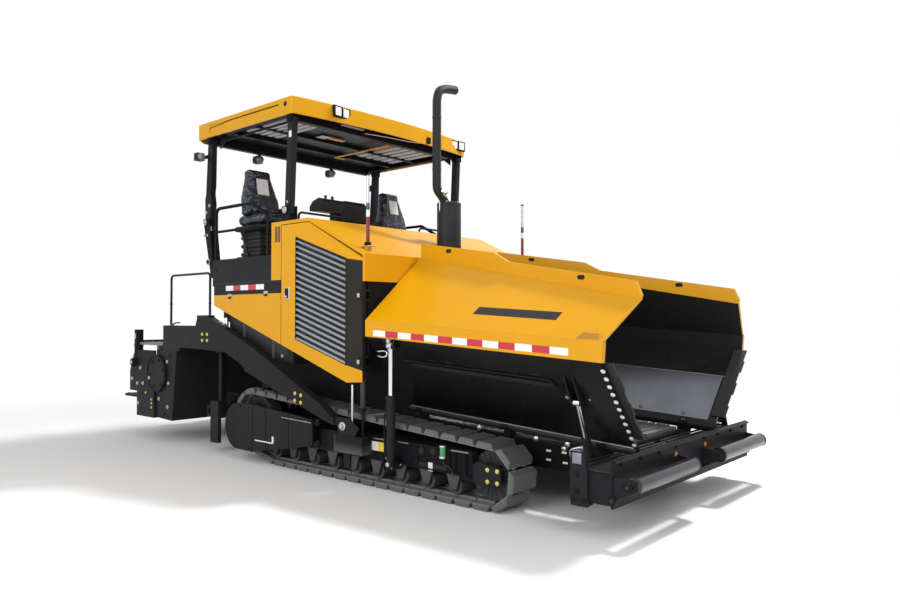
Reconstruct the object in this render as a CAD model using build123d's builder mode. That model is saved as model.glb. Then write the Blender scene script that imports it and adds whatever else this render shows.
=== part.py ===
"""Tracked asphalt paver with a folding canopy, raised hopper wings and a floating screed.

Millimetres. +X is forward, +Y is the machine's left and +Z is up. The origin is on the
ground, under the middle of the machine's length and width. Right-hand pieces are drawn
on the -Y side, and left-hand pieces are their mirror images in the X-Z plane.
"""

import os
from math import atan2, cos, degrees, hypot, radians, sin, sqrt, tan

from build123d import *

os.makedirs("parts", exist_ok=True)

# --- running clearances ---
slip_gap = 0.3  # between a shaft and its bearing, or a rod and its barrel
seat_gap = 0.3  # between pieces that lie on each other
move_gap = 8.0  # between panels that move past each other
ear_gap = 6.0  # beside an eye in its ears

# --- pins ---
hinge_pin_radius = 16.0  # wing hinges
door_pin_radius = 6.0
canopy_pin_radius = 14.0
tow_pin_radius = 30.0
pin_radius = 12.0  # hydraulic cylinders' feet
ear_plate = 12.0

# --- tracks ---
track_outer_y = 1150.0
shoe_width = 300.0
shoe_count = 42
shoe_gap = 14.0
shoe_gap_depth = 16.0
loop_thickness = 70.0
sprocket_x = -800.0
sprocket_z = 410.0
sprocket_loop_radius = 305.0  # out to the pads
idler_x = 2195.0
idler_loop_radius = 255.0
first_roller_x = -430.0
first_roller_loop_radius = 140.0
wheel_width = 120.0
idler_shaft = 40.0
hub_radius = 150.0
track_roller_radius = 68.0
track_roller_width = 200.0
track_roller_count = 9
track_frame_low = 232.0
track_frame_high = 420.0
track_frame_rear = -420.0
track_frame_front = 2060.0
track_frame_half_width = 135.0
track_frame_rib_x = (1480.0, 1820.0, 1880.0, 1985.0)
flange = 12.0  # edge strips on the track frame's side
cross_beam_x = (150.0, 1650.0)
cross_beam_size = 160.0

# --- widths that follow from the tracks ---
track_gap = 20.0  # between a track and a tow arm
arm_thickness = 80.0
arm_inner_y = track_outer_y + track_gap
body_half = arm_inner_y + arm_thickness  # outer face of doors, side panels and tow arms
panel_thickness = 40.0
sheet = 20.0
frame_half = 660.0  # outer face of the chassis side plates
frame_plate = 40.0
bay_half = body_half - panel_thickness - 10.0  # outer face of what stands behind the doors
cover_outer_y = body_half - 5.0
cover_thickness = 45.0
cover_inner_y = cover_outer_y - cover_thickness

# --- drive covers ---
cover_x = -900.0
cover_z = 345.0
cover_radius = 230.0
cover_front_x = 293.0
cover_front_low = 279.0
cover_front_high = 513.0
cover_seams = (-643.0, -420.0, -60.0)
seam_width = 9.0
seam_depth = 6.0
cover_hinge_x = 345.0
cover_hinge_radius = 16.0

# --- chassis, tunnel and engine bay ---
chassis_low = 300.0
floor_top = 480.0
floor_plate = 40.0
tunnel_top = 1000.0
chassis_rear = -1330.0
bulkhead_front = 990.0
bulkhead_plate = 40.0
tunnel_half = 590.0
conveyor_height = 25.0
conveyor_gap = 60.0  # between the two conveyors
deck_level = 1790.0
bay_rear = -330.0
tank_rear = -1230.0
tank_depth = 180.0  # below the platform, along the sloping side
engine_rear = -250.0
engine_front = 800.0
engine_half = 420.0
engine_top = 1850.0

# --- side panels and doors (x, z outlines) ---
band_low = 1665.0
panel_rear = -1350.0
panel_low_rear_z = 1559.0
panel_low_front_x = 760.0
panel_low_front_z = 876.0
door_split_x = -180.0
split_gap = 10.0
strip_rear_x = -338.0
hood_high = 2343.0
hood_crease_x = 231.0
hood_front_x = 993.0
hood_front_z = 1977.0
fascia_low = 1740.0
hood_sheet = 30.0
door_front_x = 962.0
door_front_low = 890.0
door_hinge_x = 976.0
door_hinge_y = body_half + 12.0
door_hinge_z = (1030.0, 1590.0)
door_knuckle = 60.0
door_hinge_radius = 14.0
door_lug = 18.0
corner_low = 985.0
corner_depth = 12.0
louvre_rear_x = 35.0
louvre_front_x = 742.0
louvre_rear_low = 1231.0
louvre_front_low = 1025.0
louvre_rear_high = 2186.0
louvre_front_high = 1952.0
louvre_count = 18
louvre_sheet = 4.0
louvre_depth = 30.0
louvre_drop = 24.0  # fall of each blade from its foot to its edge
vent_slot_length = 120.0
vent_slot_width = 12.0
vent_slot_count = 3

# --- operator platform ---
platform_rear = -1376.0
platform_wall_top = 2035.0
deck_sheet = 30.0
wall_gap_half = 450.0  # way in between the rear walls
rail_radius = 17.0
rail_top = 2575.0
rail_y = body_half - 17.0
hood_rail_radius = 11.0
hood_rail_top = 2440.0
step_rise = 330.0
step_depth = 240.0
step_half = 330.0

# --- seats and console ---
seat_width = 470.0
seat_outer_y = body_half - 60.0
seat_rear = -1110.0
seat_depth = 510.0
seat_pan_height = 580.0  # above the deck
seat_back_top = 1215.0  # above the deck
seat_pan_thickness = 120.0
seat_back_thickness = 120.0
console_x = -530.0
console_height = 745.0  # above the deck
console_panel = 155.0
console_half_depth = 110.0
# columns: share of the half depth, share of the panel's height below its top
console_profile = ((-1.0, 0.84), (0.82, 0.97), (1.0, 0.26), (0.36, 0.0), (-0.55, 0.19), (-1.0, 0.52))
console_span = (-560.0, 80.0)
console_foot_span = (-330.0, 30.0)

# --- canopy ---
roof_rear = -1774.0
roof_front = -10.0
roof_bulge = 100.0
roof_half = body_half + 12.0
roof_low = 3350.0
roof_high = 3515.0
roof_corner = 120.0
roof_front_radius = 50.0
roof_sheet = 18.0
recess_depth = 6.0
lamp_height = 62.0
lamp_depth = 70.0
lamp_pair_half = 110.0
lamp_pair_y = (-716.0, 1090.0)
work_lamp = 80.0
work_lamp_x = -1590.0
work_lamp_y = 532.0
post_lamp_z = 3160.0  # work lamp on each rear post
post_y = body_half - 60.0
post_width = 60.0
post_depth = 76.0
post_front_x = -135.0
post_rear_x = -1540.0
post_pivot_low = 2450.0
post_lean = 45.0
post_knee_z = 2700.0
post_pivot_high = 3318.0
fork_plate = 10.0
fork_half_depth = 60.0

# --- position poles on the hood's front corners ---
pole_x = 905.0
pole_y = body_half - 110.0
pole_foot_z = 2045.0
pole_top_z = 2668.0
pole_radius = 13.0
pole_socket = 44.0

# --- exhaust ---
exhaust_x = 700.0
muffler_y = 155.0
muffler_radius = 122.0
muffler_low = 2060.0
muffler_high = 2594.0
riser_radius = 70.0
pipe_radius = 44.0
pipe_bend = 60.0
pipe_y = -30.0
pipe_elbow_z = 2720.0
pipe_straight_top = 3690.0
pipe_outlet_y = 235.0
pipe_outlet_z = 3770.0

# --- screed lift cylinders ---
lift_x = -1295.0
lift_y = arm_inner_y - 40.0
lift_pivot_z = 1725.0
lift_barrel_low = 1430.0
lift_rod_low = 1290.0
lift_rod_high = 1600.0
lift_barrel_radius = 32.0
lift_rod_radius = 20.0

# --- hopper ---
wing_rear_x = 1010.0
wing_lower_front = ((3184.0, 440.0), (3222.0, 1154.0), (3238.0, 1291.0))  # front edge, from the bottom
wing_nose_x = 3333.0
wing_nose_z = 1584.0
rim_front_x = 3290.0
rim_front_z = 1679.0
rim_step_front = (2103.0, 1877.0)
rim_step_rear = (1942.0, 1960.0)
rim_rear_z = 2105.0
hinge_rear_x = 935.0
hinge_rear_z = 639.0
hinge_front_x = 3169.0
hinge_front_z = 505.0
hinge_y = frame_half + 40.0
hinge_tube_radius = 34.0
hinge_lug_x = (1120.0, 2060.0, 2920.0)
hinge_lug_width = 60.0
hinge_pin_reach = 90.0  # from a lug's middle to the pin's end
wing_edge_y = body_half + 12.0  # outer edge of the lower plate
wing_edge_rise = 646.0  # height of that edge above the hinge line
wing_lip = 132.0
wing_plate = 30.0
top_panel_slope = 40.0  # degrees from level, leaning inwards
top_panel_rise = 568.0  # at the rear, above the lip
top_panel_drop = 0.1805  # fall of its upper edge for each unit forwards
press_depth = 9.0
rim_stock = 240.0  # the rim's height before its top is trimmed
press_span = (250.0, 2060.0)  # pressed field, from the wing's rear edge
press_margin = 85.0
rim_hole = (70.0, 34.0)
rim_holes = ((1390.0, 2010.0), (2830.0, 1722.0))  # columns: x, z
stiffener = 10.0
stiffener_span = (350.0, 1720.0)  # from the wing's rear edge
stiffener_rise = 580.0  # up the plate from the hinge
stiffener_width = 40.0
flap_thickness = 12.0
flap_reach = 75.0
flap_step = 12.0
flap_step_count = 6
flap_overlap = 45.0

# --- wing cylinders: feet and eyes lie in a plane square to the wing hinge ---
# columns: foot x, foot y, foot z, eye along the plate, eye out from the plate,
#          barrel length, rod's inner end, barrel radius, rod radius
wing_cylinders = {
    "rear": (1265.0, -body_half + 40.0, 240.0, 817.4, 41.8, 560.0, 430.0, 38.0, 20.0),
    "front": (2880.0, -hinge_y - 70.0, 320.0, 466.6, 34.2, 300.0, 180.0, 34.0, 17.0),
}
eye_half_width = 24.0
ear_reach = 60.0
ear_length = {"rear": 45.0, "front": 260.0}  # along the plate, above the eye

# --- front beam and push rollers ---
roller_radius = 55.0
roller_shaft = 15.0
roller_axis_x = 3395.0
roller_axis_z = 372.0
roller_outer_y = 1180.0
roller_inner_y = 235.0
beam_rear_x = 2960.0
beam_front_x = 3320.0
beam_half = body_half - 35.0
beam_low = 235.0
beam_high = 430.0
apron_thickness = 14.0
end_plate_low = 205.0
end_plate_high = 560.0
end_plate_thickness = 25.0
lashing_eye_radius = 25.0
lashing_eye_x = 3030.0
lashing_eye_z = 497.0

# --- tow points and arms ---
tow_pin_x = 737.0
tow_pin_z = 502.0
tow_eye_thickness = 42.0  # the arm's front end is thinner than the arm
tow_ear = 12.0
tow_foot = (600.0, 960.0)
levelling_x = 896.0
levelling_y = track_outer_y + 32.0
levelling_rod_radius = 15.0
levelling_barrel_radius = 23.0
levelling_barrel_low = 640.0

# --- screed ---
screed_front_x = -2231.0
screed_top_front_x = -2139.0
screed_split_x = -2600.0
screed_rear_x = -3020.0
screed_low = 272.0
screed_high = 1060.0
screed_half = body_half - 15.0
screed_wall = 30.0
cross_plate = 40.0
cross_front_x = -2060.0
arm_rear_x = -2420.0
extension_high = 930.0
extension_nose = ((-3200.0, 560.0), (-3200.0, 800.0), (-3110.0, 1000.0))
end_plate = 25.0
walkway_rise = 80.0
guide_x = -2480.0
guide_z = 790.0
guide_radius = 90.0
guide_flange = 215.0
gate_post_x = -3063.0
gate_post_radius = 50.0
gate_post_top = 1270.0
foot_step_rear_x = -3450.0
foot_step_z = 485.0
gate_bolt_x = (-2920.0, -2720.0)
gate_bolt_z = (360.0, 520.0)
gate_bolt_radius = 11.0
screed_rail_y = 850.0
screed_rail_top = 1950.0
screed_rail_radius = 14.0

# --- augers ---
auger_x = -1650.0
auger_z = 420.0
auger_radius = 180.0
auger_shaft = 35.0
auger_pitch = 290.0
auger_flight = 12.0
auger_turns = 3.0
auger_outer_y = 1040.0
auger_inner_y = 75.0
auger_end_low = 100.0
auger_beam_low = 1060.0
auger_beam_high = 1140.0


# --- shared shape functions, used inside a BuildPart block ---
def slab(outline, y_low, y_high, mode=Mode.ADD):
    """Extrudes a closed X-Z outline from y_low to y_high."""
    with BuildSketch(Plane.XZ.offset(-y_high)) as profile:
        with BuildLine():
            Polyline(*outline, close=True)
        make_face()
    extrude(profile.sketch, amount=y_high - y_low, mode=mode)


def block(x_span, y_span, z_span, mode=Mode.ADD):
    """Adds a box from its three spans."""
    with Locations([(sum(x_span) / 2, sum(y_span) / 2, sum(z_span) / 2)]):
        Box(
            abs(x_span[1] - x_span[0]),
            abs(y_span[1] - y_span[0]),
            abs(z_span[1] - z_span[0]),
            mode=mode,
        )


def bar(start, end, radius, mode=Mode.ADD):
    """Adds a round bar between two points."""
    line = Vector(*end) - Vector(*start)
    with BuildSketch(Plane(origin=start, z_dir=line)) as profile:
        Circle(radius)
    extrude(profile.sketch, amount=line.length, mode=mode)


def crosswise(x, z, radius, y_low, y_high, mode=Mode.ADD):
    """Adds a round bar parallel to Y."""
    bar((x, y_low, z), (x, y_high, z), radius, mode)


def upright(x, y, radius, z_low, z_high, mode=Mode.ADD):
    """Adds a round bar parallel to Z."""
    bar((x, y, z_low), (x, y, z_high), radius, mode)


def bent_tube(points, radius, bend):
    """Adds a round tube along straight runs joined by arcs."""
    with BuildLine() as path:
        FilletPolyline(*points, radius=bend)
    with BuildSketch(Plane(origin=path.line @ 0, z_dir=path.line % 0)) as profile:
        Circle(radius)
    sweep(profile.sketch, path=path.line)


def mirrored():
    """Adds the left-hand copy of what stands in the block."""
    mirror(about=Plane.XZ)


def save(name, shape):
    """Labels a finished piece and writes it."""
    shape.label = name
    export_step(shape, f"parts/{name}.step")


def save_sides(name, shape):
    """Writes a right-hand piece and its left-hand mirror image."""
    save(f"{name}_right", shape)
    save(f"{name}_left", mirror(shape, about=Plane.XZ))


# --- wing hinge line, shared by the chassis, the wings and their cylinders ---
hinge_slope = (hinge_front_z - hinge_rear_z) / (hinge_front_x - hinge_rear_x)
hinge_direction = Vector(1, 0, hinge_slope).normalized()
plate_angle = atan2(wing_edge_rise, wing_edge_y - hinge_y)
plate_length = hypot(wing_edge_rise, wing_edge_y - hinge_y)
plate_up = (-cos(plate_angle), sin(plate_angle))  # along the lower plate, in Y and Z
plate_out = (-sin(plate_angle), -cos(plate_angle))  # out of its outer face, in Y and Z


def hinge_z(x):
    """Height of the wing hinge line."""
    return hinge_rear_z + (x - hinge_rear_x) * hinge_slope


def along_hinge(x_low, x_high, radius, mode=Mode.ADD):
    """Adds a round bar on the right-hand hinge line."""
    bar((x_low, -hinge_y, hinge_z(x_low)), (x_high, -hinge_y, hinge_z(x_high)), radius, mode)


def foot_point(name):
    """Centre of a wing cylinder's foot."""
    return Vector(*wing_cylinders[name][:3])


def eye_point(name):
    """Centre of a wing cylinder's rod eye, in the plane through its foot square to the hinge."""
    foot = foot_point(name)
    along, out = wing_cylinders[name][3:5]
    y = -hinge_y + along * plate_up[0] + out * plate_out[0]
    rise = hinge_z(foot.X) + along * plate_up[1] + out * plate_out[1]
    z = (rise + hinge_slope**2 * foot.Z) / (1 + hinge_slope**2)
    return Vector(foot.X - (z - foot.Z) * hinge_slope, y, z)


def foot_pin(name, radius, mode=Mode.ADD):
    """Adds the pin of a wing cylinder's foot, parallel to the wing hinge."""
    foot = foot_point(name)
    reach = wing_cylinders[name][7] + ear_gap + ear_plate / 2
    bar(tuple(foot - hinge_direction * reach), tuple(foot + hinge_direction * reach), radius, mode)


def foot_ears(name, y_span, z_span):
    """Adds the two ears and the pin that carry a wing cylinder's foot."""
    x = foot_point(name).X
    reach = wing_cylinders[name][7] + ear_gap
    block((x - reach - ear_plate, x - reach), y_span, z_span)
    block((x + reach, x + reach + ear_plate), y_span, z_span)
    foot_pin(name, pin_radius)


# --- tracks ---
track_inner_y = track_outer_y - shoe_width
track_middle_y = -track_outer_y + shoe_width / 2
wheel_y_span = (track_middle_y - wheel_width / 2, track_middle_y + wheel_width / 2)
track_frame_outer = track_middle_y - track_frame_half_width
# columns: x, z, radius out to the pads
loop_circles = (
    (sprocket_x, sprocket_z, sprocket_loop_radius),
    (first_roller_x, first_roller_loop_radius, first_roller_loop_radius),
    (idler_x, idler_loop_radius, idler_loop_radius),
)


def loop_face(inset):
    """Sketches the track's hull in X-Z, drawn in by inset."""
    with BuildSketch() as hull:
        with BuildLine():
            for x, z, radius in loop_circles:
                CenterArc((x, z), radius - inset, 0, 360)
        make_hull()
    return hull.sketch


def shoe_loop():
    """Sketches the loop with a gap between each shoe and the next."""
    outer = loop_face(0).wire()
    with BuildSketch() as profile:
        add(loop_face(0))
        add(loop_face(loop_thickness), mode=Mode.SUBTRACT)
        for index in range(shoe_count):
            place = outer @ (index / shoe_count)
            run = outer % (index / shoe_count)
            with Locations(Location((place.X, place.Y, 0), (0, 0, degrees(atan2(run.Y, run.X))))):
                Rectangle(shoe_gap, 2 * shoe_gap_depth, mode=Mode.SUBTRACT)
    return profile.sketch


with BuildPart() as track:
    with BuildSketch(Plane.XZ.offset(track_inner_y)):
        add(shoe_loop())
    extrude(amount=shoe_width)
save_sides("track", track.part)

roller_pitch = (idler_x - 330 - first_roller_x) / (track_roller_count - 1)
with BuildPart() as track_wheels:
    # sprocket and its drive
    crosswise(sprocket_x, sprocket_z, sprocket_loop_radius - loop_thickness - seat_gap, *wheel_y_span)
    crosswise(sprocket_x, sprocket_z, hub_radius, -cover_inner_y + seat_gap, -frame_half)
    # idler
    crosswise(idler_x, idler_loop_radius, idler_loop_radius - loop_thickness - seat_gap, *wheel_y_span)
    crosswise(idler_x, idler_loop_radius, idler_shaft, track_middle_y - 105, track_middle_y + 105)
    for index in range(track_roller_count):
        crosswise(
            first_roller_x + index * roller_pitch,
            loop_thickness + seat_gap + track_roller_radius,
            track_roller_radius,
            track_middle_y - track_roller_width / 2,
            track_middle_y + track_roller_width / 2,
        )
    mirrored()
save("track_wheels", track_wheels.part)

frame_y_span = (track_frame_outer, track_middle_y + track_frame_half_width)
yoke_low = track_frame_low - 30
yoke_high = track_frame_high - 80
with BuildPart() as track_frames:
    block((track_frame_rear, track_frame_front), frame_y_span, (track_frame_low, track_frame_high))
    # idler yoke: two cheeks and a slot between them for the idler
    block((track_frame_front - 130, idler_x + 90), frame_y_span, (yoke_low, yoke_high))
    block(
        (idler_x - 200, idler_x + 100),
        (wheel_y_span[0] - 12, wheel_y_span[1] + 12),
        (0, track_frame_high + 10),
        mode=Mode.SUBTRACT,
    )
    crosswise(idler_x, idler_loop_radius, idler_shaft + slip_gap, track_middle_y - 106, track_middle_y + 106, Mode.SUBTRACT)
    # edge strips, ribs and yoke plate on the outer side
    side_span = (track_frame_outer - flange, track_frame_outer)
    block((tow_foot[1], track_frame_front), side_span, (track_frame_low, track_frame_low + flange))
    block((tow_foot[1], track_frame_front), side_span, (track_frame_high - flange, track_frame_high))
    for x in track_frame_rib_x:
        block((x, x + 2 * flange), side_span, (track_frame_low, track_frame_high))
    block((track_frame_front + 20, idler_x + 90), side_span, (yoke_low, yoke_high))
    block((tow_foot[0] + 10, tow_foot[0] + 90), side_span, (loop_thickness + 50, track_frame_low + 40 - seat_gap))
    for x in cross_beam_x:
        block(
            (x - cross_beam_size / 2, x + cross_beam_size / 2),
            (track_middle_y, -frame_half),
            (track_frame_low + 10, track_frame_low + 10 + cross_beam_size),
        )
    foot_y = foot_point("rear").Y
    foot_ears("rear", (foot_y - 32, track_frame_outer), (foot_point("rear").Z - 35, foot_point("rear").Z + 35))
    mirrored()
save("track_frames", track_frames.part)

cover_top = cover_z + cover_radius
with BuildPart() as drive_covers:
    slab(
        [
            (cover_x, cover_z - cover_radius),
            (cover_seams[0], cover_z - cover_radius),
            (cover_front_x, cover_front_low),
            (cover_front_x, cover_front_high),
            (cover_seams[0], cover_top),
            (cover_x, cover_top),
        ],
        -cover_outer_y,
        -cover_inner_y,
    )
    crosswise(cover_x, cover_z, cover_radius, -cover_outer_y, -cover_inner_y)
    for x in cover_seams:
        block(
            (x - seam_width / 2, x + seam_width / 2),
            (-cover_outer_y - 1, -cover_outer_y + seam_depth),
            (0, cover_top + 1),
            Mode.SUBTRACT,
        )
    # hinge knuckles at the front edge, and the bracket to the track frame
    for z in (cover_front_low, cover_front_high - 40):
        block((cover_front_x - 20, cover_hinge_x), (-cover_outer_y + 10, -cover_inner_y), (z, z + 40))
        upright(cover_hinge_x, -cover_outer_y + 22, cover_hinge_radius, z - 10, z + 50)
    block(
        (track_frame_rear + 100, 200),
        (-cover_inner_y, track_frame_outer),
        (track_frame_low + 50, track_frame_high - 20),
    )
    mirrored()
save("drive_covers", drive_covers.part)

# --- tow points: foot on the track frame, two ears with the tow pin, levelling cylinder ---
arm_middle_y = (arm_inner_y + body_half) / 2
tow_eye_outer_y = arm_middle_y + tow_eye_thickness / 2
tow_eye_inner_y = arm_middle_y - tow_eye_thickness / 2
tow_foot_high = track_frame_high
with BuildPart() as tow_points:
    block(tow_foot, (-body_half, track_frame_outer), (track_frame_low + 40, tow_foot_high))
    for y_span in (
        (-body_half, -tow_eye_outer_y - ear_gap),
        (-tow_eye_inner_y + ear_gap, -tow_eye_inner_y + ear_gap + tow_ear),
    ):
        slab(
            [
                (tow_pin_x - 97, tow_foot_high - 1),
                (tow_pin_x + 123, tow_foot_high - 1),
                (tow_pin_x + 45, tow_pin_z + 60),
                (tow_pin_x - 45, tow_pin_z + 60),
            ],
            *y_span,
        )
    crosswise(tow_pin_x, tow_pin_z, tow_pin_radius, -body_half - 8, -tow_eye_inner_y + ear_gap + tow_ear)
    upright(levelling_x, -levelling_y, levelling_rod_radius, tow_foot_high - 1, levelling_barrel_low)
    upright(levelling_x, -levelling_y, levelling_barrel_radius, levelling_barrel_low, tunnel_top - 100)
    mirrored()
save("tow_points", tow_points.part)

# --- chassis with its material tunnel ---
with BuildPart() as chassis:
    slab(
        [
            (chassis_rear, chassis_low),
            (beam_rear_x, chassis_low - 30),
            (beam_rear_x, 440),
            (bulkhead_front, 560),
            (bulkhead_front - bulkhead_plate, tunnel_top),
            (chassis_rear, tunnel_top),
        ],
        -frame_half,
        -frame_half + frame_plate,
    )
    block((chassis_rear, beam_rear_x), (-frame_half, 0), (floor_top - floor_plate - 20, floor_top - floor_plate))
    block((chassis_rear, bulkhead_front - bulkhead_plate), (-frame_half, 0), (tunnel_top, tunnel_top + sheet))
    front_foot = foot_point("front")
    foot_ears("front", (front_foot.Y - 30, -frame_half), (front_foot.Z - 35, front_foot.Z + 35))
    # lugs and pins that carry the wings
    for x in hinge_lug_x:
        lug_span = (x - hinge_lug_width / 2, x + hinge_lug_width / 2)
        along_hinge(*lug_span, hinge_tube_radius)
        along_hinge(x - hinge_pin_reach, x + hinge_pin_reach, hinge_pin_radius)
        block(lug_span, (-hinge_y, -frame_half + frame_plate), (hinge_z(x) - 170, hinge_z(x) + 10))
    mirrored()
save("chassis", chassis.part)

with BuildPart() as engine_bay:
    # half of the bulkhead behind the hopper
    block((bulkhead_front - bulkhead_plate, bulkhead_front - 5), (-bay_half, 0), (tunnel_top + sheet, fascia_low))
    # door hinge lugs and pins
    lug_y_span = (-door_hinge_y - door_hinge_radius, -bay_half + 10)
    for z in door_hinge_z:
        for foot in (z - seat_gap - door_lug, z + door_knuckle + seat_gap):
            block((door_front_x + 6, bulkhead_front), lug_y_span, (foot, foot + door_lug))
        upright(door_hinge_x, -door_hinge_y, door_pin_radius, z - 2, z + door_knuckle + 2)
    # tank above the track, cut off under the sloping side panel
    slab(
        [
            (tank_rear, deck_level - deck_sheet),
            (tank_rear, panel_low_rear_z - 60),
            (door_split_x, tunnel_top + 160),
            (panel_low_front_x, tunnel_top - 100),
            (bulkhead_front - bulkhead_plate, tunnel_top - 100),
            (bulkhead_front - bulkhead_plate, tunnel_top + 60),
            (door_split_x, tunnel_top + 160 + tank_depth),
            (bay_rear, deck_level - deck_sheet),
        ],
        -bay_half,
        -frame_half,
    )
    block(
        (chassis_rear, chassis_rear + bulkhead_plate),
        (-frame_half, 0),
        (tunnel_top + sheet, deck_level - deck_sheet),
    )
    mirrored()
save("engine_bay", engine_bay.part)

with BuildPart() as engine_block:
    block((engine_rear, engine_front), (-engine_half, engine_half), (tunnel_top + sheet, engine_top))
save("engine_block", engine_block.part)

# --- yellow side panels below the dark band ---
panel_slope = (panel_low_rear_z - panel_low_front_z) / (panel_rear - panel_low_front_x)
side_y_span = (-body_half, -body_half + panel_thickness)
split_rear = door_split_x - split_gap / 2
split_front = door_split_x + split_gap / 2


def panel_low_z(x):
    """Height of the sloping lower edge of the side panels."""
    return panel_low_rear_z + (x - panel_rear) * panel_slope


with BuildPart() as side_panels:
    slab(
        [
            (panel_rear, panel_low_rear_z),
            (split_rear, panel_low_z(split_rear)),
            (split_rear, band_low),
            (panel_rear, band_low),
        ],
        *side_y_span,
    )
    block((panel_rear + 100, split_rear - 100), (side_y_span[1], -bay_half), (band_low - 85, band_low - 25))
    mirrored()
save("side_panels", side_panels.part)

# --- doors: outer panel, dark front corner and louvre ---
hood_under = hood_sheet + move_gap
door_outline = [
    (split_front, panel_low_z(split_front)),
    (panel_low_front_x, panel_low_front_z),
    (door_front_x, door_front_low),
    (door_front_x, hood_front_z - hood_under),
    (hood_crease_x, hood_high - hood_under),
    (split_front, hood_high - hood_under),
]
louvre_outline = [
    (louvre_rear_x, louvre_rear_low),
    (louvre_front_x, louvre_front_low),
    (louvre_front_x, louvre_front_high),
    (louvre_rear_x, louvre_rear_high),
]
corner_outline = [
    (louvre_front_x + 12, louvre_front_low),
    (door_front_x - 3, corner_low),
    (door_front_x - 3, hood_front_z - hood_under - 25),
    (louvre_front_x + 12, louvre_front_high - 8),
]
with BuildPart() as door:
    slab(door_outline, *side_y_span)
    slab(louvre_outline, *side_y_span, Mode.SUBTRACT)
    slab(corner_outline, -body_half, -body_half + corner_depth, Mode.SUBTRACT)
    for z in door_hinge_z:
        knuckle = (z, z + door_knuckle)
        upright(door_hinge_x, -door_hinge_y, door_hinge_radius, *knuckle)
        block((door_front_x - 40, door_hinge_x), (-door_hinge_y - 4, -body_half), knuckle)
        upright(door_hinge_x, -door_hinge_y, door_pin_radius + slip_gap, z - 1, z + door_knuckle + 1, Mode.SUBTRACT)
save_sides("side_door", door.part)

with BuildPart() as door_corner:
    slab(corner_outline, -body_half + 2, -body_half + corner_depth)
save_sides("door_corner", door_corner.part)


def louvre_edge(x, low, high, share):
    """A point on one upright edge of the louvre, in the plane of the blades' feet."""
    return Vector(x, -body_half + louvre_depth, low + (high - low) * share)


with BuildPart() as louvre:
    slab(louvre_outline, -body_half + louvre_depth, side_y_span[1])
    for index in range(louvre_count):
        share = (index + 0.7) / louvre_count
        start = louvre_edge(louvre_rear_x, louvre_rear_low, louvre_rear_high, share)
        finish = louvre_edge(louvre_front_x, louvre_front_low, louvre_front_high, share)
        with BuildSketch(Plane(origin=start, x_dir=(0, -1, 0), z_dir=finish - start)) as blade:
            with BuildLine():
                Polyline(
                    (-1, 0),
                    (louvre_depth - 4, louvre_drop),
                    (louvre_depth - 4, louvre_drop + louvre_sheet),
                    (-1, louvre_sheet),
                    close=True,
                )
            make_face()
        extrude(blade.sketch, amount=(finish - start).length)
    slab(louvre_outline, *side_y_span, Mode.INTERSECT)
save_sides("louvre", louvre.part)

# --- hood: top, slope, fascia and rear corner strips ---
with BuildPart() as hood:
    slab(
        [
            (strip_rear_x, hood_high),
            (hood_crease_x, hood_high),
            (hood_front_x, hood_front_z),
            (hood_front_x, fascia_low),
            (hood_front_x - hood_sheet, fascia_low),
            (hood_front_x - hood_sheet, hood_front_z - hood_sheet * 0.6),
            (hood_crease_x, hood_high - hood_sheet),
            (strip_rear_x, hood_high - hood_sheet),
        ],
        -body_half,
        0,
    )
    block((strip_rear_x, split_rear), side_y_span, (deck_level, hood_high))
    block((strip_rear_x, strip_rear_x + sheet), (-body_half, 0), (deck_level, hood_high))
    for index in range(vent_slot_count):
        x = strip_rear_x + 60 + index * 2 * vent_slot_width
        block(
            (x, x + vent_slot_width),
            (-body_half - 1, side_y_span[1] + 1),
            (hood_high - 60 - vent_slot_length, hood_high - 60),
            Mode.SUBTRACT,
        )
    # socket of the position pole
    block(
        (pole_x - pole_socket / 2, pole_x + pole_socket / 2),
        (-pole_y - pole_socket / 2, -pole_y + pole_socket / 2),
        (hood_front_z + 13, pole_foot_z),
    )
    mirrored()
    upright(exhaust_x, muffler_y, muffler_radius + 10, hood_front_z - 77, hood_high + 57, Mode.SUBTRACT)
save("hood", hood.part)

# --- operator platform ---
lift_ear_inner = lift_barrel_radius + ear_gap
with BuildPart() as deck:
    block((platform_rear, strip_rear_x), (-body_half, 0), (deck_level - deck_sheet, deck_level))
    block((platform_rear, strip_rear_x), (-body_half, -body_half + sheet), (deck_level, platform_wall_top))
    # dark band that runs on over the rear corner strip
    block((panel_rear, split_rear), side_y_span, (band_low + seat_gap, deck_level))
    block((platform_rear, platform_rear + sheet), (-body_half, -wall_gap_half), (deck_level, platform_wall_top))
    for y in (-lift_y + lift_ear_inner, -lift_y - lift_ear_inner - ear_plate):
        block((lift_x - 30, lift_x + 30), (y, y + ear_plate), (lift_pivot_z - 30, deck_level - deck_sheet))
    crosswise(lift_x, lift_pivot_z, pin_radius, -lift_y - lift_ear_inner - 1, -lift_y + lift_ear_inner + 1)
    mirrored()
save("deck", deck.part)

with BuildPart() as rear_steps:
    tread_z = deck_level - step_rise
    block((platform_rear - step_depth, platform_rear - seat_gap), (-step_half, step_half), (tread_z - 30, tread_z))
    for y in (-step_half - 20, step_half):
        slab(
            [
                (platform_rear - step_depth, tread_z - 30),
                (platform_rear - seat_gap, tread_z - 30),
                (platform_rear - seat_gap, deck_level),
                (platform_rear - 60, deck_level),
                (platform_rear - step_depth, tread_z + 60),
            ],
            y,
            y + 20,
        )
save("rear_steps", rear_steps.part)

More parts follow.
